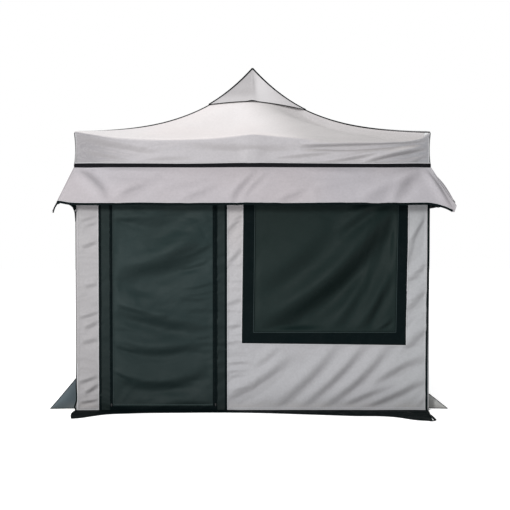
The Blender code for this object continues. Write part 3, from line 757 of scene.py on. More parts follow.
def tube_piece(name, runs, surface="black_finish", sides=8):
    """Several tubes as one piece; each run is a path, its two radii and its outward direction."""
    points = []
    faces = []
    for path, radius_out, radius_side, outward in runs:
        add_tube(points, faces, path, radius_out, radius_side, outward, sides)
    mesh = bpy.data.meshes.new(name)
    mesh.from_pydata(np.concatenate(points).tolist(), [], faces)
    bm = bmesh.new()
    bm.from_mesh(mesh)
    bmesh.ops.recalc_face_normals(bm, faces=bm.faces)
    bm.to_mesh(mesh)
    bm.free()
    mesh.shade_smooth()
    mesh.set_sharp_from_angle(angle=math.radians(60))
    mesh.materials.append(surface_named(surface))
    piece = bpy.data.objects.new(name, mesh)
    bpy.context.scene.collection.objects.link(piece)
    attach(piece, "root")
    return piece


def resampled(path, spacing):
    """Points at an even spacing along a path."""
    path = np.asarray(path, float)
    lengths = np.concatenate([[0], np.cumsum(np.linalg.norm(np.diff(path, axis=0), axis=1))])
    places = np.arange(0, lengths[-1], spacing)
    return np.stack([np.interp(places, lengths, path[:, axis]) for axis in range(3)], -1)


THREAD_LINES = {"thread_light_finish": [], "thread_dark_finish": []}
TAPES = {"tape_finish": [], "dark_tape_finish": [], "black_finish": []}


def tape(path, depth, half_width, outward, finish="tape_finish"):
    """Note a narrow tape sewn along a seam, to be made with the rest."""
    TAPES[finish].append((path, depth, half_width, outward))


def sew(path, outward, thread="thread_light_finish"):
    """Note a line of stitching, to be made with the rest once all the cloth is there."""
    path = np.asarray(path, float)
    THREAD_LINES[thread].append((path, np.asarray(outward, float) * np.ones_like(path)))


def stitch_mesh(lines, length, width=0.0011, height=0.0008):
    """Small pointed stitches along every line: points and triangles."""
    pitch = length * 1.35
    points = []
    for path, outward in lines:
        spots = resampled(path, pitch)
        if len(spots) < 2:
            continue
        run = np.diff(spots, axis=0)
        run /= np.linalg.norm(run, axis=1, keepdims=True)
        start = spots[:-1]
        lengths = np.concatenate([[0], np.cumsum(np.linalg.norm(np.diff(path, axis=0), axis=1))])
        places = np.arange(0, lengths[-1], pitch)[:len(start)]
        up = np.stack([np.interp(places, lengths, outward[:, axis]) for axis in range(3)], -1)
        beside = np.cross(run, up)
        middle = start + run * length / 2
        points.append(np.stack([start - up * 0.0003, middle + beside * width / 2, middle + up * height,
                                middle - beside * width / 2, middle - up * 0.0006,
                                start + run * length - up * 0.0003], 1))
    points = np.concatenate(points)
    shape = np.array([(0, 1, 2), (0, 2, 3), (0, 3, 4), (0, 4, 1), (5, 2, 1), (5, 3, 2), (5, 4, 3), (5, 1, 4)])
    faces = (np.arange(len(points))[:, None, None] * 6 + shape[None]).reshape(-1, 3)
    return points.reshape(-1, 3), faces


def add_block(bm, low, high, round_by=0.0):
    """Add a block with rounded edges to a mesh in the making."""
    made = bmesh.ops.create_cube(bm, size=1.0)
    low = Vector(low)
    high = Vector(high)
    bmesh.ops.scale(bm, vec=high - low, verts=made["verts"])
    bmesh.ops.translate(bm, vec=(high + low) / 2, verts=made["verts"])
    if round_by:
        edges = list({edge for vertex in made["verts"] for edge in vertex.link_edges})
        bmesh.ops.bevel(bm, geom=edges, offset=round_by, segments=2, profile=0.7, affect="EDGES",
                        clamp_overlap=True)


def bmesh_piece(name, bm, surface):
    """A named piece from a mesh in the making."""
    bmesh.ops.recalc_face_normals(bm, faces=bm.faces)
    mesh = bpy.data.meshes.new(name)
    bm.to_mesh(mesh)
    bm.free()
    mesh.shade_smooth()
    mesh.set_sharp_from_angle(angle=math.radians(40))
    mesh.materials.append(surface_named(surface))
    piece = bpy.data.objects.new(name, mesh)
    bpy.context.scene.collection.objects.link(piece)
    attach(piece, "root")
    return piece


# Roof, fascia and vent cap

def line_value(x, line):
    """A smooth curve through listed pairs."""
    places = np.array([p for p, _ in line])
    values = np.array([v for _, v in line])
    slopes = np.gradient(values, places)
    index = np.clip(np.searchsorted(places, x) - 1, 0, len(places) - 2)
    width = places[index + 1] - places[index]
    t = np.clip((x - places[index]) / width, 0, 1)
    start = values[index] * (2 * t ** 3 - 3 * t ** 2 + 1) + slopes[index] * width * (t ** 3 - 2 * t ** 2 + t)
    end = values[index + 1] * (3 * t ** 2 - 2 * t ** 3) + slopes[index + 1] * width * (t ** 3 - t ** 2)
    return start + end


def hip_height(along):
    """Height of a hip, from 0 at the corner to 1 at the peak."""
    hollow = (1 - STRAIGHT_SHARE) * np.maximum(along, 0) ** HOLLOW_POWER
    return EAVE + (PEAK - EAVE) * (STRAIGHT_SHARE * along + hollow)


def eave_dip(across, side):
    """How far the eave hangs below its corners; across runs from -1 to 1."""
    return line_value(across * HALF, EAVE_LINE if side == "front" else EAVE_LINE_PLAIN)


def roof_height(across, along, side):
    """Height of the main roof, with soft rolls of cloth between the hips."""
    tuck = 0.005 * (np.maximum(0, along - TUCK_FROM) / (LIP_AT - TUCK_FROM)) ** 2
    dip = eave_dip(across, side) * (1 - along) ** 3
    swell = np.minimum((np.maximum(along - 0.25, 0) / 0.40) ** 1.5, ((1 - along) / (1 - LIP_AT)) ** 2)
    arch = 0.061 * (1 - np.abs(across) ** ARCH_POWER) * swell
    return hip_height(along) - tuck - dip + arch


def fascia_relief(x, z, side):
    """How far the fascia's cloth stands out."""
    sizes = bpy.context.scene.tent_sizes
    seed = 40 + len(side)
    flip = 1 if side in ("front", "rear") else -1
    relief = fold_relief(flip * x, z, FASCIA_FOLDS) + sizes.crinkle * crinkles(x, z, 8 * flip, 0.5, 0.07, seed)
    relief += 0.5 * sizes.crinkle * crinkles(x, z, 16 * flip, 0.16, 0.028, seed + 1)
    relief += 0.006 * ease(flip * x, 0.20, 0.50) * (1 - ease(flip * x, 1.36, 1.49))
    relief = relief * held_edges(z, BAND_HIGH.z - 0.006, EAVE + 0.01, 0.035) * held_edges(x, -HALF, HALF, 0.035)
    deepest = -0.0005 - 0.0085 * ease(np.abs(x), 0.03, 0.14) * (1 - ease(np.abs(x), 1.33, 1.42))
    return np.maximum(relief, deepest)


def canopy_grid(side, columns, roof_rows, turn_rows, fascia_rows):
    """Places on one side of the canopy: down the roof, over the soft eave and down the fascia."""
    across = np.linspace(-1, 1, columns + 1)[None, :]
    radius = 0.012 + 0.024 * (1 - np.abs(across) ** 6) - 0.020 * np.exp(-(across * HALF / 0.09) ** 2)
    at_turn = radius / HALF
    part = np.linspace(0, 1, roof_rows + 1)[:, None]
    along = VENT_AT + (at_turn - VENT_AT) * part ** 0.92
    roof = np.stack([across * HALF * (1 - along), -HALF * (1 - along), roof_height(across, along, side)], -1)
    eave = EAVE - eave_dip(across, side)
    corner = np.stack([across * HALF, np.full_like(across, -HALF), eave], -1)
    below = np.stack([across * HALF, np.full_like(across, -HALF), eave - radius], -1)
    part = np.linspace(0, 1, turn_rows + 1)[1:, None, None]
    turn = (1 - part) ** 2 * roof[-1:] + 2 * part * (1 - part) * corner + part ** 2 * below
    part = np.linspace(0, 1, fascia_rows + 1)[1:, None, None]
    foot = np.stack([across * HALF, np.full_like(across, -HALF), np.full_like(across, BAND_LOW.z)], -1)
    fascia = (1 - part) * below + part * foot
    points = np.concatenate([roof, turn, fascia])
    drop = np.clip((EAVE - points[..., 2]) / (EAVE - BAND_LOW.z), 0, 1)
    upright = ease(-points[..., 1], HALF - 0.07, HALF - 0.008)
    bow = 0.009 * np.sin(np.pi * drop) * upright * ease(np.abs(across), 0.02, 0.10)
    x = points[..., 0] * (1 - bow / HALF)
    y = points[..., 1] * (1 - bow / HALF)
    y = y - fascia_relief(points[..., 0], points[..., 2], side) * upright
    rolls = 0.005 * crinkles(points[..., 0], points[..., 1], 20, 0.6, 0.16, 11 + len(side))
    rolls = rolls + fold_relief(points[..., 0], HALF + points[..., 1], ROOF_FOLDS)
    soft = held_edges(points[..., 0] / np.maximum(0.05, -points[..., 1]), -1, 1, 0.15)
    away = held_edges(-points[..., 1], HALF * 0.3, HALF, 0.12)
    z = points[..., 2] + rolls * soft * away
    return np.stack([x, y, z], -1)


def lip_place(across, side):
    """Where the cap's lip is along the hips: it hangs a little askew."""
    index = [name for name, _ in SIDES].index(side)
    corners = ("front_left", "front_right", "rear_right", "rear_left")
    left = CAP_CORNERS[corners[index]]
    right = CAP_CORNERS[corners[(index + 1) % 4]]
    return left + (right - left) * (across + 1) / 2


def cap_height(across, along):
    """Height of the vent cap, arched between the hips, with a faint crease down its middle."""
    fade = ((1 - along) / (1 - LIP_AT)) ** 2
    crease = 0.010 * np.exp(-(across / 0.09) ** 2) * held_edges(along, LIP_AT - 0.1, 1.0, 0.12)
    return hip_height(along) + 0.002 + 0.062 * (1 - np.abs(across) ** ARCH_POWER) * fade + crease


def cap_grid(side, columns, rows):
    """Places on one side of the vent cap."""
    across = np.linspace(-1, 1, columns + 1)[None, :]
    lip = lip_place(across, side)
    along = lip + (1 - lip) * np.linspace(0, 1, rows + 1)[:, None]
    across = across * np.ones_like(along)
    half = HALF * (1 - along)
    z = cap_height(across, along)
    z = z + 0.0016 * crinkles(across * half, along, 70, 0.4, 0.09, 5) * held_edges(across, -1, 1, 0.3)
    return np.stack([across * half, -half, z], -1)


class TENT_OT_canopy(bpy.types.Operator):
    """Make the roof and the fascia as one sewn cloth"""

    bl_idname = "tent.canopy"
    bl_label = "Canopy"

    def execute(self, context):
        columns = {"front": 210, "right": 96, "rear": 96, "left": 96}
        grids = [turned(canopy_grid(side, columns[side], 26, 8, 38), degrees) for side, degrees in SIDES]
        for grid, (_, degrees) in zip(grids, SIDES):
            for shift in (-1, 1):
                sew(grid[3:-2, grid.shape[1] // 2 + shift], turned(np.array([0, -0.8, 0.6]), degrees))
        nodes = [f"{part}_{side}" for side, _ in SIDES for part in ("roof", "fascia")]
        piece = cloth_piece("canopy_cloth", grids, "roof_finish")
        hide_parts(*nodes)
        return {"FINISHED"}


class TENT_OT_vent_cap(bpy.types.Operator):
    """Make the raised cap over the vent"""

    bl_idname = "tent.vent_cap"
    bl_label = "Vent cap"

    def execute(self, context):
        grids = [turned(cap_grid(side, 44, 30), degrees) for side, degrees in SIDES]
        piece = cloth_piece("vent_cap_cloth", grids, "cap_finish")
        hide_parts("vent_cap")
        return {"FINISHED"}


class TENT_OT_roof_piping(bpy.types.Operator):
    """Make the thin dark piping on the hips, round the vent cap's lip and down the corners"""

    bl_idname = "tent.roof_piping"
    bl_label = "Roof piping"

    def execute(self, context):
        radius = context.scene.tent_sizes.piping
        runs = []
        lift = radius * 0.4
        corners = ("front_left", "front_right", "rear_right", "rear_left")
        for (side, degrees), corner in zip(SIDES, corners):
            along = np.linspace(0.02, CAP_CORNERS[corner] + 0.01, 46)
            half = HALF * (1 - along)
            hip = np.stack([-half, -half, roof_height(-np.ones(46), along, "rear") + lift], -1)
            swell = radius * (0.06 + 1.10 * ease(along, 0.05, 0.42))
            runs.append((turned(hip, degrees), swell, swell, (0, 0, 1)))
            along = np.linspace(CAP_CORNERS[corner], 0.9985, 30)
            half = HALF * (1 - along)
            hip = np.stack([-half, -half, cap_height(np.ones(30), along) + lift], -1)
            swell = radius * (1.2 + 0.35 * ease(along, 0.72, 0.95))
            runs.append((turned(hip, degrees), swell, swell, (0, 0, 1)))
            across = np.linspace(-1, 1, 50)
            along = lip_place(across, side)
            half = HALF * (1 - along)
            lip = np.stack([across * half, -half - 0.001, cap_height(across, along)], -1)
            runs.append((turned(lip, degrees), radius * 0.45, radius * 0.45, (0, 0, 1)))
            fall = np.linspace(0.05, 1, 20)
            bow = 0.009 * np.sin(np.pi * fall)
            edge = np.stack([bow - HALF, bow - HALF, EAVE - fall * (EAVE - BAND_LOW.z)], -1)
            runs.append((turned(edge, degrees), radius * 0.6, radius * 0.6, (-1, -1, 0)))
        angle = np.linspace(0.02, np.pi - 0.02, 9)
        button = np.stack([0 * angle, 0 * angle, PEAK - 0.006 - 0.010 * np.cos(angle)], -1)
        runs.append((button, 0.015 * np.sin(angle), 0.015 * np.sin(angle), (0, -1, 0)))
        tube_piece("roof_piping", runs)
        return {"FINISHED"}


# Band and skirt below the fascia

class TENT_OT_eave_band(bpy.types.Operator):
    """Make the black band sewn round the foot of the fascia"""

    bl_idname = "tent.eave_band"
    bl_label = "Eave band"

    def execute(self, context):
        inner = HALF - 0.0005
        grids = []
        for side, degrees in SIDES:
            x = np.linspace(-1, 1, 121)[None, :]
            z = np.linspace(0, 1, 7)[:, None]
            round_off = 0.0035 * (1 - np.abs(2 * z - 1) ** 6)
            half = inner + round_off + 0 * x
            wave = 0.0030 * smooth_noise(x * 3 + 5, x * 0 + degrees / 7, 3) * held_edges(x, -1, 1, 0.1)
            arch = 0.006 * np.exp(-(x * HALF / 0.4) ** 2) - 0.001
            height = BAND_LOW.z - 0.008 + z * (BAND_HIGH.z - BAND_LOW.z + 0.008) + wave + arch
            grids.append(turned(np.stack([x * half, -half, height], -1), degrees))
            for level in (0.16, 0.84):
                line = np.stack([x[0] * HALF, np.full(121, -HALF - 0.0034),
                                 BAND_LOW.z + level * (BAND_HIGH.z - BAND_LOW.z) + wave[0] + arch[0]], -1)
                sew(turned(line, degrees), turned(np.array([0, -1, 0.0]), degrees), "thread_dark_finish")
            for level, size in ((BAND_HIGH.z + 0.0040, 0.0036), (BAND_LOW.z - 0.0105, 0.0030)):
                line = np.stack([x[0] * (HALF - 0.004), np.full(121, -HALF - 0.001), level + wave[0] + arch[0]], -1)
                tape(turned(line, degrees), 0.0016, size, turned(np.array([0, -1, 0.0]), degrees))
            for edge in (-1, 1):
                line = np.stack([np.full(20, edge * (HALF - 0.013)), np.full(20, -HALF - 0.0005),
                                 np.linspace(EAVE - (0.055 if edge > 0 else 0.02), BAND_HIGH.z + 0.006, 20)], -1)
                line[:, 1] += 0.009 * np.sin(np.pi * np.linspace(0.1, 1, 20))
                tape(turned(line, degrees), 0.0016, 0.0038, turned(np.array([0, -1, 0.0]), degrees))
        piece = cloth_piece("eave_band_webbing", grids, "band_finish")
        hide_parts("eave_band")
        return {"FINISHED"}


def skirt_flare(across, side):
    """How far the skirt's straight hem stands out, from corner to corner."""
    index = [name for name, _ in SIDES].index(side)
    corners = ("front_left", "front_right", "rear_right", "rear_left")
    left = CORNER_FLARE[corners[index]]
    right = CORNER_FLARE[corners[(index + 1) % 4]]
    middle = 0.158
    t = (across + 1) / 2
    ends = left * (1 - t) + right * t
    return ends + (middle - (left + right) / 2) * np.sin(np.pi * t) ** 0.7


def skirt_ear(across, side):
    """How far the hem runs on past its straight line, as a share of the skirt: lowest near the right-hand corner."""
    distance = (1 - across) * (HALF + 0.186)
    start, tip = (0.085, 0.012) if side == "left" else (EAR_FROM, EAR_TIP)
    rising = 0.232 * np.clip((start - distance) / (start - tip), 0, 1) ** 2.1
    falling = 0.175 * np.clip((tip - distance) / tip, 0, 1) * (tip / EAR_TIP)
    left = (1 + across) * (HALF + 0.16)
    tucked = 0.13 * ease(distance, 0.04, 0.15) * (1 - ease(distance, 1.4, 2.0)) if side == "left" else 0.0
    return rising - falling - 0.035 * ease(-left, -0.12, 0.0) + 0.022 * held_edges(across, -1, 1, 0.12) - tucked


def skirt_point(across, down, side, lift=0.0):
    """A place on a skirt: across from -1 to 1, and down from 0 at the band to 1 at the hem."""
    sizes = bpy.context.scene.tent_sizes
    flare = skirt_flare(across, side)
    reach = down * (1 + skirt_ear(across, side))
    top = BAND_LOW.z + 0.002
    fall = top - (SKIRT_LOW.z + 0.075)
    out = flare * reach
    belly = 0.010 * np.sin(np.pi * np.clip(reach, 0, 1)) * held_edges(across, -1, 1, 0.3)
    x = across * (HALF + out)
    z = top - fall * reach
    flip = 1 if side in ("front", "rear") else -1
    relief = fold_relief(flip * x, z, SKIRT_FOLDS)
    relief += sizes.crinkle * 1.2 * crinkles(x, z, 35 * flip, 0.35, 0.06, 21 + len(side))
    relief += sizes.crinkle * 0.5 * crinkles(x, z, 42 * flip, 0.14, 0.028, 23 + len(side))
    wave = 0.006 * smooth_noise(x / 0.33, z * 0, 9 + len(side)) * reach
    loose = ease(down, 0.0, 0.12) * held_edges(across, -1, 1, 0.025)
    stand = (relief + wave) * loose + belly + lift
    slope = np.hypot(fall, flare)
    y = -(HALF + out) - stand * fall / slope
    return np.stack([x, y, z + stand * flare / slope], -1)


class TENT_OT_eave_skirt(bpy.types.Operator):
    """Make the flared skirts with their ears, bindings and stitching"""

    bl_idname = "tent.eave_skirt"
    bl_label = "Eave skirt"

    def execute(self, context):
        sizes = context.scene.tent_sizes
        for side, degrees in SIDES:
            cell = sizes.cell if side == "front" else sizes.cell * 1.6
            columns = round(2 * HALF / cell)
            eased = np.linspace(-1, 1, columns + 1)
            eased = eased * (1.12 - 0.12 * eased ** 2)
            across, down = np.meshgrid(eased, np.linspace(0, 1, round(0.36 / cell) + 1))
            grid = turned(skirt_point(across, down, side), degrees)
            piece = cloth_piece(f"eave_skirt_cloth_{side}", [grid], "skirt_finish")
            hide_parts(f"eave_skirt_{side}")
            # A thin black sheet just inside each skirt makes its inner face black.
            inner_black = turned(skirt_point(across, down * 0.985, side, -0.006), degrees)
            cloth_piece(f"skirt_inner_black_{side}", [inner_black], "black_finish",
                        thickness=0.001)
            out = turned(np.array([0, -0.88, 0.47]), degrees)
            bound = eased[eased < 1 - EAR_TIP / (HALF + 0.186) + 0.001]
            hem = skirt_point(bound, np.full_like(bound, 0.978), side)
            binding = sizes.binding / 2
            tube_piece(f"skirt_binding_{side}", [(turned(hem, degrees), 0.0035, binding, out)])
            line = skirt_point(bound, np.full_like(bound, 0.944), side, 0.0006)
            tape(turned(line, degrees), 0.0014, 0.0024, out)
            line = skirt_point(eased, np.full_like(eased, 0.925), side, 0.0004)
            sew(turned(line, degrees), out)
            for edge, half_width in ((0.9935, 0.0026), (0.9825, 0.0020)):
                line = skirt_point(np.full(30, edge), np.linspace(0.03, 0.99, 30), side, 0.0006)
                tape(turned(line, degrees), 0.0012, half_width, out)
            for edge in (-0.988, 0.988):
                down_line = np.linspace(0.02, 0.95, 30)
                line = skirt_point(np.full(30, edge), down_line, side, 0.0004)
                sew(turned(line, degrees), out)
            seam = skirt_point(np.full(24, 1.0), np.linspace(0, 0.99, 24), side)
            tube_piece(f"skirt_seam_{side}", [(turned(seam, degrees), 0.0028, 0.0028, out)],
                       "skirt_finish")
        return {"FINISHED"}


# Front wall, door and window

def askew(x, z):
    """How far the window and the cloth beside it stand askew: sideways towards the foot, and down to the right."""
    beside = ease(x, -0.20, -0.06) * (1 - ease(x, 1.33, 1.47))
    aside = -(0.013 + 0.004 * ease(x, 0.2, 1.2)) * np.clip((1.60 - z) / 1.0, 0, 1)
    aside = aside + 0.013 * np.exp(-((x - PANE_LOW.x) / 0.03) ** 2)
    low = np.exp(-((z - BORDER_LOW.z) / 0.035) ** 2)
    sill = np.exp(-((z - PANE_LOW.z) / 0.030) ** 2)
    across = np.clip((x - BORDER_LOW.x) / (BORDER_HIGH.x - BORDER_LOW.x), 0, 1)
    return aside * beside, (0.007 * sill - 0.017 * across * low) * beside


def front_relief(x, z):
    """How far the front wall stands out, with its folds and small wrinkles."""
    crinkle = bpy.context.scene.tent_sizes.crinkle
    left = ease(-x, 0.00, 0.08)
    relief = fold_relief(x, z, WALL_FOLDS)
    relief += crinkle * 1.3 * (1 - left) * crinkles(x, z, 50, 0.45, 0.075, 31)
    between = left * ease(x, -0.50, -0.40)
    relief += crinkle * 3.0 * (left - between) * crinkles(x, z, 14, 0.24, 0.058, 32)
    relief += crinkle * 2.2 * between * crinkles(x, z, 3 + 26 * ease(z, 1.2, 1.6), 0.30, 0.034, 36)
    relief += crinkle * 1.3 * left * crinkles(x, z, 16, 0.13, 0.025, 34)
    relief += crinkle * 1.2 * ease(x, 1.20, 1.35) * crinkles(x, z, 50, 0.15, 0.028, 35)
    relief += 0.006 * smooth_noise(x / 0.8 + 3, z / 0.8, 33)
    held = held_edges(x, -WALL_OUT, WALL_OUT, 0.05) * held_edges(z, WALL_FOOT, WALL_TOP + 0.2, 0.05)
    return 0.002 + np.maximum(relief, -0.010) * held


def front_grid(x_lines, z_lines, lift=0.0, extra=None, depth_edge=0.0):
    """Places on the front wall, lifted off it; a lift may fall away at the strip's long edges."""
    x, z = np.meshgrid(x_lines, z_lines)
    stand = front_relief(x, z) + lift
    if extra is not None:
        stand = stand + extra(x, z)
    if depth_edge:
        wide = (x_lines[-1] - x_lines[0]) < (z_lines[-1] - z_lines[0])
        t = (x - x_lines[0]) / (x_lines[-1] - x_lines[0]) if wide else (z - z_lines[0]) / (z_lines[-1] - z_lines[0])
        stand = stand - depth_edge * np.abs(2 * t - 1) ** 8
    aside, down = askew(x, z)
    return np.stack([x + aside, -WALL_OUT - stand, z + down], -1)


def sew_front(x0, z0, x1, z1, lift, thread="thread_light_finish", extra=None):
    """Stitch a straight line on the front wall."""
    count = max(8, round(math.hypot(x1 - x0, z1 - z0) / 0.02))
    x = np.linspace(x0, x1, count)
    z = np.linspace(z0, z1, count)
    stand = front_relief(x, z) + lift
    if extra is not None:
        stand = stand + extra(x, z)
    aside, down = askew(x, z)
    sew(np.stack([x + aside, -WALL_OUT - stand, z + down], -1), (0, -1, 0), thread)


def front_tape(x0, z0, x1, z1, half_width, finish="tape_finish", lift=0.0030):
    """Run a narrow tape along a straight line on the front wall."""
    count = max(8, round(math.hypot(x1 - x0, z1 - z0) / 0.02))
    x = np.linspace(x0, x1, count)
    z = np.linspace(z0, z1, count)
    aside, down = askew(x, z)
    path = np.stack([x + aside, -WALL_OUT - front_relief(x, z) - lift, z + down], -1)
    tape(path, 0.0014, half_width, (0, -1, 0), finish)


def front_strip(name, x0, x1, z0, z1, surface, lift=0.0018, edge=0.0014, extra=None, cell=None):
    """A flat tape or hem sewn on the front wall, following its relief."""
    cell = cell or bpy.context.scene.tent_sizes.cell
    short = min(x1 - x0, z1 - z0) / 5
    x_lines = steps_between((x0, x1), short if x1 - x0 < z1 - z0 else cell)
    z_lines = steps_between((z0, z1), short if z1 - z0 <= x1 - x0 else cell)
    grid = front_grid(x_lines, z_lines, lift, extra, edge)
    return cloth_piece(name, [grid], surface,
                       thickness=0.0012)


class TENT_OT_front_wall(bpy.types.Operator):
    """Make the front wall with its doorway, window, hems and stitching"""

    bl_idname = "tent.front_wall"
    bl_label = "Front wall"

    def execute(self, context):
        sizes = context.scene.tent_sizes
        x_marks = (-WALL_OUT, STRIP_LEFT_LOW.x, STRIP_RIGHT_HIGH.x, BORDER_LOW.x, BORDER_HIGH.x, WALL_OUT)
        z_marks = (WALL_FOOT, BORDER_LOW.z, BORDER_HIGH.z, DOOR_HIGH.z, WALL_TOP)
        x_lines = steps_between(x_marks, sizes.cell * 0.75)
        z_lines = steps_between(z_marks, sizes.cell * 0.75)
        x_mid = (x_lines[1:] + x_lines[:-1])[None, :] / 2
        z_mid = (z_lines[1:] + z_lines[:-1])[:, None] / 2
        doorway = (x_mid > STRIP_LEFT_LOW.x) & (x_mid < STRIP_RIGHT_HIGH.x) & (z_mid < DOOR_HIGH.z)
        window = ((x_mid > BORDER_LOW.x) & (x_mid < BORDER_HIGH.x)
                  & (z_mid > BORDER_LOW.z) & (z_mid < BORDER_HIGH.z))
        grid = front_grid(x_lines, z_lines)
        piece = cloth_piece("front_wall_cloth", [grid], "wall_finish",
                            keep=~(doorway | window))
        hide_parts("front_wall")
        hem = sizes.hem
        door_left = STRIP_LEFT_LOW.x
        door_right = STRIP_RIGHT_HIGH.x
        strips = (
            ("left", -WALL_OUT + 0.002, -WALL_OUT + hem, WALL_FOOT, WALL_TOP),
            ("door_left", door_left - hem * 0.6, door_left - 0.001, WALL_FOOT, WALL_TOP),
            ("door_right", door_right + 0.001, door_right + hem * 0.6, WALL_FOOT, WALL_TOP),
            ("window_left", BORDER_LOW.x - hem * 0.5, BORDER_LOW.x - 0.001, BORDER_LOW.z, WALL_TOP),
            ("window_right", BORDER_HIGH.x + 0.001, BORDER_HIGH.x + hem * 0.5, BORDER_LOW.z, WALL_TOP),
            ("right", WALL_OUT - hem * 0.9 - 0.014, WALL_OUT - 0.014, WALL_FOOT, WALL_TOP),
            ("foot_left", -WALL_OUT + hem, door_left - 0.001, WALL_FOOT, WALL_FOOT + hem),
            ("foot_right", door_right + 0.001, WALL_OUT - hem - 0.014, WALL_FOOT, WALL_FOOT + hem),
        )
        for x, z0, z1 in ((-WALL_OUT + 0.011, WALL_FOOT, 0.40), (door_left - 0.017, WALL_FOOT, WALL_TOP),
                          (door_right + 0.006, WALL_FOOT, WALL_TOP), (BORDER_LOW.x - 0.005, BORDER_LOW.z, WALL_TOP),
                          (BORDER_HIGH.x + 0.005, BORDER_LOW.z, WALL_TOP),
                          (WALL_OUT - 0.021, WALL_FOOT, WALL_TOP)):
            front_tape(x, z0, x, z1, 0.0032)
        for x0, x1, z in ((-WALL_OUT + 0.011, door_left - 0.017, WALL_FOOT + 0.006),
                          (door_right + 0.006, WALL_OUT - 0.021, WALL_FOOT + 0.006),
                          (BORDER_LOW.x, BORDER_HIGH.x, BORDER_LOW.z - 0.005)):
            front_tape(x0, z, x1, z, 0.0032)
        for name, x0, x1, z0, z1 in strips:
            front_strip(f"front_hem_{name}", x0, x1, z0, z1, "hem_finish")
            inset = 0.004
            if x1 - x0 < z1 - z0:
                for x in (x0 + inset, x1 - (inset if x1 < 1 else 0.013)):
                    sew_front(x, z0, x, z1, 0.0019)
            else:
                sew_front(x0, z1 - inset, x1, z1 - inset, 0.0019)
        return {"FINISHED"}


def door_bulge(x, z):
    """Folds of the door panel between its zips."""
    crinkle = bpy.context.scene.tent_sizes.crinkle
    relief = fold_relief(x, z, DOOR_FOLDS) + 1.3 * crinkle * crinkles(x, z, 4, 0.35, 0.06, 51)
    slack = 0.010 * smooth_noise(x / 0.6 + 1, z / 0.35 + 2, 52)
    held = held_edges(x, DOOR_LOW.x, DOOR_HIGH.x, 0.06) * held_edges(z, 0.035, DOOR_HIGH.z + 0.1, 0.05)
    return (relief + slack) * held


def strip_crinkle(x, z):
    """Short wrinkles across the narrow strips beside the zips."""
    return 0.0050 * crinkles(x, z, 3, 0.10, 0.028, 55)


def add_zip(name, low, high):
    """A zip: black tape, two rows of teeth and a slider with its pull."""
    middle = (low.x + high.x) / 2
    front_strip(f"{name}_tape", low.x - 0.003, high.x + 0.004, 0.035, DOOR_HIGH.z, "black_finish",
                0.0024, 0.0010)
    bm = bmesh.new()
    pitch = 0.0042
    z = 0.045
    row = 0
    places = np.arange(z, DOOR_HIGH.z - 0.01, pitch)
    stands = front_relief(np.full(len(places), middle), places) + 0.0030
    for z, stand in zip(places, stands):
        side = -1 if row % 2 else 1
        x = middle + side * 0.0016
        face = -WALL_OUT - stand
        add_block(bm, (x - 0.0024, face - 0.0012, z - 0.0012), (x + 0.0024, face + 0.0014, z + 0.0012))
        row += 1
    bmesh_piece(f"{name}_teeth", bm, "black_finish")
    bm = bmesh.new()
    face = -WALL_OUT - float(front_relief(np.array([middle]), np.array([0.052]))[0]) - 0.003
    add_block(bm, (middle - 0.0055, face - 0.005, 0.046), (middle + 0.0055, face + 0.001, 0.060), 0.0018)
    add_block(bm, (middle - 0.0020, face - 0.0072, 0.048), (middle + 0.0020, face - 0.0045, 0.056), 0.0008)
    add_block(bm, (middle - 0.0032, face - 0.0066, 0.038), (middle + 0.0032, face - 0.0048, 0.050), 0.0008)
    bmesh_piece(f"{name}_slider", bm, "plastic_finish")


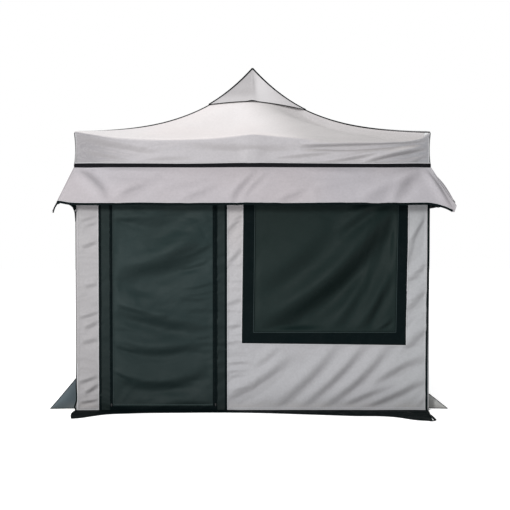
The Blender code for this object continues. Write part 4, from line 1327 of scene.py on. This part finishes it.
class TENT_OT_door(bpy.types.Operator):
    """Make the zipped door: panel, strips, edging, zips and stitching"""

    bl_idname = "tent.door"
    bl_label = "Door"

    def execute(self, context):
        sizes = context.scene.tent_sizes
        x_lines = steps_between((DOOR_LOW.x - 0.001, DOOR_HIGH.x + 0.001), sizes.cell)
        z_lines = steps_between((0.034, DOOR_HIGH.z), sizes.cell)
        grid = front_grid(x_lines, z_lines, 0.0, door_bulge)
        panel = cloth_piece("door_panel_cloth", [grid], "dark_finish")
        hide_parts("door_panel")
        for name, low, high in (("left", STRIP_LEFT_LOW, STRIP_LEFT_HIGH), ("right", STRIP_RIGHT_LOW, STRIP_RIGHT_HIGH)):
            strip = front_strip(f"door_strip_cloth_{name}", low.x, high.x, WALL_FOOT, DOOR_HIGH.z, "strip_finish",
                                0.0008, 0.0, strip_crinkle)
            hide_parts(f"door_strip_{name}")
        add_zip("door_zip_left", ZIP_LEFT_LOW, ZIP_LEFT_HIGH)
        add_zip("door_zip_right", ZIP_RIGHT_LOW, ZIP_RIGHT_HIGH)
        for side in ("left", "right"):
            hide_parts(f"door_zip_{side}")
        left = STRIP_LEFT_LOW.x
        right = STRIP_RIGHT_HIGH.x
        edging = 0.014
        front_strip("door_edging_left", left - 0.011, left + edging - 0.005, WALL_FOOT, DOOR_HIGH.z, "black_finish",
                    0.0034, 0.0008)
        front_strip("door_edging_right", right - edging - 0.004, right + 0.003, WALL_FOOT, DOOR_HIGH.z, "black_finish",
                    0.0034, 0.0008)
        front_strip("door_sill", ZIP_LEFT_LOW.x - 0.002, ZIP_RIGHT_HIGH.x + 0.002, WALL_FOOT, 0.038, "black_finish",
                    0.0022, 0.0010)
        front_tape(ZIP_LEFT_HIGH.x + 0.002, 0.040, ZIP_LEFT_HIGH.x + 0.002, DOOR_HIGH.z, 0.0028, "dark_tape_finish")
        front_tape(ZIP_RIGHT_LOW.x - 0.007, 0.040, ZIP_RIGHT_LOW.x - 0.007, DOOR_HIGH.z, 0.0040, "black_finish")
        front_tape(DOOR_LOW.x + 0.01, 0.050, DOOR_HIGH.x - 0.01, 0.050, 0.0040, "dark_tape_finish", 0.0035)
        front_strip("door_panel_hem", DOOR_LOW.x + 0.004, DOOR_HIGH.x - 0.004, 0.036, 0.064, "dark_finish",
                    0.0020, 0.0012)
        for x in (left + 0.004, left + edging - 0.004, right - 0.004, right - edging + 0.004):
            sew_front(x, 0.03, x, DOOR_HIGH.z, 0.0027, "thread_dark_finish")
        for x in (ZIP_LEFT_LOW.x, ZIP_LEFT_HIGH.x, ZIP_RIGHT_LOW.x, ZIP_RIGHT_HIGH.x):
            sew_front(x, 0.04, x, DOOR_HIGH.z, 0.0025, "thread_dark_finish")
        sew_front(DOOR_LOW.x + 0.01, 0.059, DOOR_HIGH.x - 0.01, 0.059, 0.0021, "thread_dark_finish")
        return {"FINISHED"}


def pane_bulge(x, z):
    """Folds of the window's blind inside its border."""
    crinkle = bpy.context.scene.tent_sizes.crinkle
    relief = fold_relief(x, z, PANE_FOLDS) + crinkle * crinkles(x, z, 48, 0.5, 0.08, 61)
    held = held_edges(x, PANE_LOW.x, PANE_HIGH.x, 0.06) * held_edges(z, PANE_LOW.z, PANE_HIGH.z, 0.06)
    return relief * held - 0.0015


class TENT_OT_window(bpy.types.Operator):
    """Make the window: the dark blind, its wide black border and the stitching"""

    bl_idname = "tent.window"
    bl_label = "Window"

    def execute(self, context):
        sizes = context.scene.tent_sizes
        over = 0.012
        x_lines = steps_between((PANE_LOW.x - over, PANE_HIGH.x + over), sizes.cell)
        z_lines = steps_between((PANE_LOW.z - over, PANE_HIGH.z + over), sizes.cell)
        pane = cloth_piece("window_blind_cloth", [front_grid(x_lines, z_lines, 0.0, pane_bulge)], "pane_finish")
        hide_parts("window_panel")
        x_marks = (BORDER_LOW.x, PANE_LOW.x, PANE_HIGH.x, BORDER_HIGH.x)
        z_marks = (BORDER_LOW.z, PANE_LOW.z, PANE_HIGH.z, BORDER_HIGH.z)
        x_lines = steps_between(x_marks, sizes.cell)
        z_lines = steps_between(z_marks, sizes.cell)
        x_mid = (x_lines[1:] + x_lines[:-1])[None, :] / 2
        z_mid = (z_lines[1:] + z_lines[:-1])[:, None] / 2
        inside = (x_mid > PANE_LOW.x) & (x_mid < PANE_HIGH.x) & (z_mid > PANE_LOW.z) & (z_mid < PANE_HIGH.z)
        border = cloth_piece("window_border_tape", [front_grid(x_lines, z_lines, 0.0022)], "black_finish",
                             keep=~inside)
        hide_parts("window_border")
        inset = 0.006
        for low, high, outside in ((BORDER_LOW, BORDER_HIGH, 1), (PANE_LOW, PANE_HIGH, -1)):
            x0 = low.x + inset * outside
            x1 = high.x - inset * outside
            z0 = low.z + inset * outside
            z1 = high.z - inset * outside
            for line in ((x0, z0, x1, z0), (x0, z0, x0, z1), (x1, z0, x1, z1), (x0, z1, x1, z1)):
                sew_front(*line, 0.0024, "thread_dark_finish")
            if outside < 0:
                for line in ((x0, z0, x1, z0), (x0, z0, x0, z1), (x1, z0, x1, z1)):
                    front_tape(*line, 0.0026, "dark_tape_finish")
        return {"FINISHED"}


# Side and rear walls

def plain_relief(x, z, seed):
    """Relief of a wall with no openings: long slack folds and small wrinkles."""
    crinkle = bpy.context.scene.tent_sizes.crinkle
    folds = []
    rng = np.random.default_rng(seed)
    for _ in range(13):
        left = rng.uniform(-1.35, 0.7)
        run = rng.uniform(0.4, 0.9)
        low = rng.uniform(0.05, 1.3)
        rise = rng.uniform(0.1, 0.6)
        bend = rng.uniform(-0.12, -0.02)
        folds.append((left, low, left + run / 2, low + rise / 2 + bend, left + run, low + rise,
                      rng.uniform(0.03, 0.06), rng.uniform(0.004, 0.011)))
    relief = fold_relief(x, z, folds) + 1.6 * crinkle * crinkles(x, z, 30, 0.5, 0.08, seed)
    relief += 0.006 * smooth_noise(x / 0.9, z / 0.9, seed + 4)
    held = held_edges(x, -WALL_OUT, WALL_OUT, 0.06) * held_edges(z, WALL_FOOT, WALL_TOP + 0.2, 0.05)
    return 0.002 + np.maximum(relief, -0.010) * held


class TENT_OT_plain_walls(bpy.types.Operator):
    """Make the right, rear and left walls with their middle seam, hems and stitching"""

    bl_idname = "tent.plain_walls"
    bl_label = "Plain walls"

    def execute(self, context):
        sizes = context.scene.tent_sizes
        for number, (side, degrees) in enumerate(SIDES[1:]):
            seed = 70 + 10 * number
            x_lines = steps_between((-WALL_OUT, WALL_OUT), sizes.cell * 1.7)
            z_lines = steps_between((WALL_FOOT, WALL_TOP), sizes.cell * 1.7)
            x, z = np.meshgrid(x_lines, z_lines)
            grid = np.stack([x, -WALL_OUT - plain_relief(x, z, seed), z], -1)
            wall = cloth_piece(f"{side}_wall_cloth", [turned(grid, degrees)], "wall_finish")
            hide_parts(f"{side}_wall")
            hem = sizes.hem
            out = turned(np.array([0, -1, 0.0]), degrees)
            strips = (
                ("left", -WALL_OUT + 0.002, -WALL_OUT + hem, WALL_FOOT, WALL_TOP),
                ("right", WALL_OUT - hem * 0.9 - 0.014, WALL_OUT - 0.014, WALL_FOOT, WALL_TOP),
                ("seam", -hem / 2, hem / 2, WALL_FOOT + hem, WALL_TOP),
                ("foot", -WALL_OUT + hem, WALL_OUT - hem - 0.014, WALL_FOOT, WALL_FOOT + hem),
            )
            for name, x0, x1, z0, z1 in strips:
                upright = x1 - x0 < z1 - z0
                x_lines = steps_between((x0, x1), (x1 - x0) / 4 if upright else sizes.cell * 1.7)
                z_lines = steps_between((z0, z1), sizes.cell * 1.7 if upright else (z1 - z0) / 4)
                x, z = np.meshgrid(x_lines, z_lines)
                grid = np.stack([x, -WALL_OUT - plain_relief(x, z, seed) - 0.0018, z], -1)
                cloth_piece(f"{side}_hem_{name}", [turned(grid, degrees)], "hem_finish",
                            thickness=0.0012)
                lines = (((x0 + 0.004, z0, x0 + 0.004, z1), (x1 - 0.004, z0, x1 - 0.004, z1)) if upright
                         else ((x0, z1 - 0.004, x1, z1 - 0.004),))
                for a, b, c, d in lines:
                    x = np.linspace(a, c, 110)
                    z = np.linspace(b, d, 110)
                    line = np.stack([x, -WALL_OUT - plain_relief(x, z, seed) - 0.0019, z], -1)
                    sew(turned(line, degrees), out)
        return {"FINISHED"}


class TENT_OT_corner_piping(bpy.types.Operator):
    """Make the black piping down the walls' corners"""

    bl_idname = "tent.corner_piping"
    bl_label = "Corner piping"

    def execute(self, context):
        runs = []
        for _, degrees in SIDES:
            z = np.linspace(0.003, WALL_TOP, 60)
            x = WALL_OUT - 0.0175 + 0.0135 * ease(z, 0.45, 1.45) + 0.0012 * smooth_noise(z / 0.3, z * 0, 4)
            path = np.stack([x, np.full(60, -WALL_OUT - 0.003), z], -1)
            stands = 0.0005 + 0.0055 * (1 - ease(z, 0.10, 0.45)) if degrees == 270 else 0.006
            path[:, 1] += 0.002 if degrees == 270 else 0.0
            runs.append((turned(path, degrees), stands, 0.0096, turned(np.array([0, -1, 0.0]), degrees)))
        z = np.linspace(0.003, 1.62, 60)
        bulge = 0.016 * np.exp(-((z - 0.032) / 0.026) ** 2) - 0.005 * np.exp(-((z - 0.12) / 0.04) ** 2)
        path = np.stack([-WALL_OUT - 0.001 - bulge, np.full(60, -WALL_OUT - 0.004), z], -1)
        thick = 0.0012 + 0.0046 * (1 - ease(z, 0.10, 0.45))
        runs.append((path, 0.004, thick, (0, -1, 0)))
        strap = np.array([(-1.556, -1.600, 1.756), (-1.535, -1.585, 1.750), (-1.514, -1.560, 1.740),
                          (-1.502, -1.530, 1.720), (-1.495, -1.508, 1.680), (-1.493, -1.497, 1.600)])
        swell = np.array([0.0060, 0.0090, 0.0110, 0.0090, 0.0045, 0.0022])
        runs.append((strap, swell, swell, (0, -1, 0)))
        patch = np.array([(-1.522, -1.566, 1.752), (-1.503, -1.540, 1.744), (-1.492, -1.520, 1.728),
                          (-1.489, -1.510, 1.700)])
        runs.append((patch, 0.004, np.array([0.006, 0.011, 0.010, 0.004]), (0, -1, 0)))
        tail = np.array([(-1.595, -1.650, 1.751), (-1.617, -1.655, 1.745), (-1.634, -1.660, 1.715),
                         (-1.648, -1.660, 1.671)])
        runs.append((tail, 0.004, np.array([0.0060, 0.0070, 0.0060, 0.0050]), (0, -1, 0)))
        tube_piece("wall_corner_piping", runs)
        return {"FINISHED"}


# Cloth at the ground

class TENT_OT_ground_cloth(bpy.types.Operator):
    """Make the black cloth at the ground, pulled out to a point at each corner"""

    bl_idname = "tent.ground_cloth"
    bl_label = "Ground cloth"

    def execute(self, context):
        top = 0.003
        for side, degrees in (("front", 0), ("rear", 180)):
            across = np.sin(np.linspace(-1, 1, 161) * np.pi / 2)
            foot_x = across * (WALL_OUT - 0.001)
            edge_x = -1.468 + (across + 1) / 2 * (1.440 + 1.468)
            reach = line_value(edge_x, FLAP_LINE)
            rows = 18
            part = np.linspace(0, 1, rows)[:, None]
            x = foot_x[None, :] * (1 - part) + edge_x[None, :] * part
            x = x - 0.022 * np.sin(np.pi * part) * np.exp(-(1.49 + foot_x) / 0.05)[None, :]
            y = -WALL_OUT - 0.0035 - part * reach[None, :]
            ripple = 0.005 * (1 + crinkles(x, y, 90, 0.25, 0.11, 81)) * np.sin(np.pi * part) ** 0.7
            z = 0.0035 + ripple
            upright = np.linspace(1, 0.15, 5)[:, None] * np.ones_like(across)[None, :]
            wall = np.stack([foot_x[None, :] * np.ones_like(upright), np.full_like(upright, -WALL_OUT - 0.0035),
                             0.0040 - upright * (0.0040 - top)], -1)
            grid = np.concatenate([wall, np.stack([x, y, z], -1)])
            piece = cloth_piece(f"ground_flap_cloth_{side}", [turned(grid, degrees)], "black_finish")
            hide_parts(f"ground_flap_{side}")
            edge = turned(grid[-1] + np.array([0, 0, 0.001]), degrees)
            tube_piece(f"ground_flap_rope_{side}", [(edge, 0.0028, 0.0038, (0, 0, 1))])
        for side, degrees in (("right", 90), ("left", 270)):
            top = 0.022
            x, z = np.meshgrid(np.linspace(-WALL_OUT, WALL_OUT, 121), np.linspace(0.0015, top, 5))
            out = 0.0035 + 0.010 * (1 - z / top) + 0.004 * smooth_noise(x / 0.25, z * 0, 83) * (1 - z / top)
            grid = np.stack([x, -WALL_OUT - out, z], -1)
            piece = cloth_piece(f"ground_band_cloth_{side}", [turned(grid, degrees)], "black_finish")
            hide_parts(f"ground_band_{side}")
        return {"FINISHED"}


class TENT_OT_storm_flaps(bpy.types.Operator):
    """Make the pegged triangles beside the corners, with their binding"""

    bl_idname = "tent.storm_flaps"
    bl_label = "Storm flaps"

    def execute(self, context):
        for corner, x_sign, y_sign in CORNERS:
            low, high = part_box(f"storm_flap_{corner}")
            height = high.z
            reach = 0.235 if x_sign < 0 else 0.175
            y_middle = (low.y + high.y) / 2
            part, rise = np.meshgrid(np.linspace(0, 1, 22), np.linspace(0, 1, 22))
            slack = 0.004 + 0.010 * (1 - part)
            x = WALL_OUT + 0.003 + reach * part
            top = slack + (height - slack) * (1 - part) ** 1.06
            z = 0.004 + (top - 0.004) * rise
            bulge = 0.012 * np.sin(np.pi * part) * np.sin(np.pi * rise)
            y = y_middle + bulge * y_sign + 0.02 * part * y_sign
            grid = np.stack([x * x_sign, y, z], -1)
            piece = cloth_piece(f"storm_flap_cloth_{corner}", [grid], "storm_finish")
            if x_sign > 0:
                piece.data.materials.clear()
                piece.data.materials.append(surface_named("storm_warm_finish"))
            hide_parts(f"storm_flap_{corner}")
            runs = [(grid[-1], 0.0030, 0.0026, (0, 0, 1)), (grid[0], 0.0030, 0.0026, (0, 0, 1)),
                    (grid[:, 0], 0.0030, 0.0030, (0, 1, 0))]
            tube_piece(f"storm_flap_binding_{corner}", runs, "black_finish")
        return {"FINISHED"}


class TENT_OT_peg_loops(bpy.types.Operator):
    """Make the webbing loops that the pegs pull at"""

    bl_idname = "tent.peg_loops"
    bl_label = "Peg loops"

    def execute(self, context):
        runs = []
        tab = np.array([(1.448, 0.185, 0.010), (1.458, 0.290, 0.013), (1.463, 0.390, 0.010), (1.466, 0.452, 0.005)])
        path = resampled(np.stack([tab[:, 0], -WALL_OUT - tab[:, 1], tab[:, 2]], -1), 0.02)
        loop = np.array([(1.466, 0.452, 0.006), (1.450, 0.478, 0.007), (1.424, 0.482, 0.006), (1.405, 0.462, 0.006)])
        ring = resampled(np.stack([loop[:, 0], -WALL_OUT - loop[:, 1], loop[:, 2]], -1), 0.008)
        for degrees in (0, 180):
            runs.append((turned(path, degrees), np.linspace(0.003, 0.0045, len(path)), 0.012, (0, 0, 1)))
            runs.append((turned(ring, degrees), 0.0040, 0.0060, (0, 0, 1)))
        tube_piece("peg_loops", runs)
        return {"FINISHED"}


# Frame

class TENT_OT_frame(bpy.types.Operator):
    """Give the steel frame its coating and add its plastic joints and collars on the legs"""

    bl_idname = "tent.frame"
    bl_label = "Frame"

    def execute(self, context):
        steel = surface_named("steel_finish")
        nodes = [f"{part}_{side}" for side, _ in SIDES for part in ("truss", "roof_truss")]
        nodes += [f"leg_{corner}" for corner, _, _ in CORNERS] + ["centre_mast"]
        for name in nodes:
            node = frame["nodes"][name]
            node.data.materials.clear()
            node.data.materials.append(steel)
            rounding = node.modifiers.new("rounding", "BEVEL")
            rounding.width = 0.0015
            rounding.segments = 2
            rounding.limit_method = "ANGLE"
            rounding.angle_limit = math.radians(40)
        bm = bmesh.new()
        line = LEG_LINE
        for x_sign, y_sign in ((-1, -1), (1, -1), (1, 1), (-1, 1)):
            for z in (2.27, 2.0):
                centre = Vector((x_sign * line, y_sign * line, z))
                size = Vector((0.0185, 0.0185, 0.026))
                add_block(bm, centre - size, centre + size, 0.003)
            centre = Vector((x_sign * line, y_sign * line, 0.955))
            size = Vector((0.0172, 0.0172, 0.020))
            add_block(bm, centre - size, centre + size, 0.003)
        bmesh_piece("leg_collars", bm, "plastic_finish")
        return {"FINISHED"}


class TENT_OT_seam_tapes(bpy.types.Operator):
    """Make the narrow tapes that the seams asked for"""

    bl_idname = "tent.seam_tapes"
    bl_label = "Seam tapes"

    def execute(self, context):
        for surface, runs in TAPES.items():
            if not runs:
                raise RuntimeError(f"no tape was sewn with {surface}")
            tube_piece(surface.replace("_finish", "_runs"), runs, surface, 6)
        return {"FINISHED"}


class TENT_OT_stitching(bpy.types.Operator):
    """Make every stitch that the cloth pieces asked for"""

    bl_idname = "tent.stitching"
    bl_label = "Stitching"

    def execute(self, context):
        length = context.scene.tent_sizes.stitch
        for surface, lines in THREAD_LINES.items():
            if not lines:
                raise RuntimeError(f"no seam was sewn with {surface}")
            points, faces = stitch_mesh(lines, length)
            name = surface.replace("_finish", "_stitches")
            mesh_piece(name, points, faces, surface, smooth=False)
        return {"FINISHED"}


# Stage

def add_softbox(name, place, target, size, power, colour=(1.0, 1.0, 1.0)):
    """A square studio light aimed at a place."""
    light = bpy.data.lights.new(name, "AREA")
    light.shape = "SQUARE"
    light.size = size
    light.energy = power
    light.color = colour
    lamp = bpy.data.objects.new(name, light)
    lamp.location = place
    lamp.rotation_euler = (Vector(target) - Vector(place)).to_track_quat("-Z", "Y").to_euler()
    bpy.context.scene.collection.objects.link(lamp)


class TENT_OT_stage(bpy.types.Operator):
    """Set the camera, the pale floor and the soft studio light"""

    bl_idname = "tent.stage"
    bl_label = "Stage"

    def execute(self, context):
        scene = context.scene
        sizes = scene.tent_sizes
        camera = bpy.data.cameras.new("camera")
        camera.sensor_width = 36.0
        camera.lens = sizes.lens
        camera.clip_end = 200.0
        eye = bpy.data.objects.new("camera", camera)
        focal = sizes.lens / camera.sensor_width * 510
        pitch = math.atan((255 - 233.5) / focal)
        yaw = math.atan((255 - 252.5) / focal)
        eye.location = (0, -WALL_OUT - sizes.camera_distance, sizes.camera_height)
        eye.rotation_euler = (math.pi / 2 - pitch, 0, -yaw)
        scene.collection.objects.link(eye)
        scene.camera = eye

        bm = bmesh.new()
        bmesh.ops.create_grid(bm, x_segments=1, y_segments=1, size=30.0)
        mesh = bpy.data.meshes.new("studio_floor")
        bm.to_mesh(mesh)
        bm.free()
        floor = bpy.data.objects.new("studio_floor", mesh)
        floor.location.z = -0.001
        surface, tree, shader = new_material("floor_finish")
        shader.inputs["Base Color"].default_value = (*scene.tent_colours.floor, 1.0)
        shader.inputs["Roughness"].default_value = 0.9
        shader.inputs["Specular IOR Level"].default_value = 0.0
        shader.inputs["Emission Color"].default_value = (1.0, 1.0, 1.0, 1.0)
        shader.inputs["Emission Strength"].default_value = 0.48
        mesh.materials.append(surface)
        scene.collection.objects.link(floor)

        world = bpy.data.worlds.new("studio_world")
        world.use_nodes = True
        background = world.node_tree.nodes["Background"]
        background.inputs["Color"].default_value = (1.0, 1.0, 1.0, 1.0)
        background.inputs["Strength"].default_value = 1.0
        scene.world = world
        scene.view_settings.view_transform = "Standard"
        add_softbox("key_light", (-8.5, -12.5, 4.7), (-0.2, -1.4, 1.3), 2.2, 2080, (1.0, 0.992, 0.982))
        add_softbox("top_light", (-0.8, -0.6, 8.0), (0, 0, 2.6), 3.0, 270, (1.0, 0.995, 0.985))
        return {"FINISHED"}


OPERATORS = (
    TENT_OT_canopy, TENT_OT_vent_cap, TENT_OT_roof_piping, TENT_OT_eave_band, TENT_OT_eave_skirt,
    TENT_OT_front_wall, TENT_OT_door, TENT_OT_window, TENT_OT_plain_walls, TENT_OT_corner_piping,
    TENT_OT_ground_cloth, TENT_OT_storm_flaps, TENT_OT_peg_loops, TENT_OT_frame, TENT_OT_seam_tapes,
    TENT_OT_stitching, TENT_OT_stage,
)


class TENT_PT_pieces(bpy.types.Panel):
    """Lists the tent's sizes, colours and pieces"""

    bl_idname = "TENT_PT_pieces"
    bl_label = "Tent"
    bl_space_type = "VIEW_3D"
    bl_region_type = "UI"
    bl_category = "Tent"

    def draw(self, context):
        column = self.layout.column(align=True)
        for group in (context.scene.tent_sizes, context.scene.tent_colours):
            for name in group.bl_rna.properties.keys():
                if name not in ("rna_type", "name"):
                    column.prop(group, name)
        for operator in OPERATORS:
            column.operator(operator.bl_idname)


CLASSES = (TentSizes, TentColours, *OPERATORS, TENT_PT_pieces)


def register():
    """Add the classes and the two groups of settings."""
    for item in CLASSES:
        bpy.utils.register_class(item)
    bpy.types.Scene.tent_sizes = bpy.props.PointerProperty(type=TentSizes)
    bpy.types.Scene.tent_colours = bpy.props.PointerProperty(type=TentColours)


def unregister():
    """Take them away again."""
    del bpy.types.Scene.tent_colours
    del bpy.types.Scene.tent_sizes
    for item in reversed(CLASSES):
        bpy.utils.unregister_class(item)


def main():
    """Make every piece in order."""
    register()
    for operator in OPERATORS:
        family, name = operator.bl_idname.split(".")
        getattr(getattr(bpy.ops, family), name)()


if __name__ == "__main__":
    main()
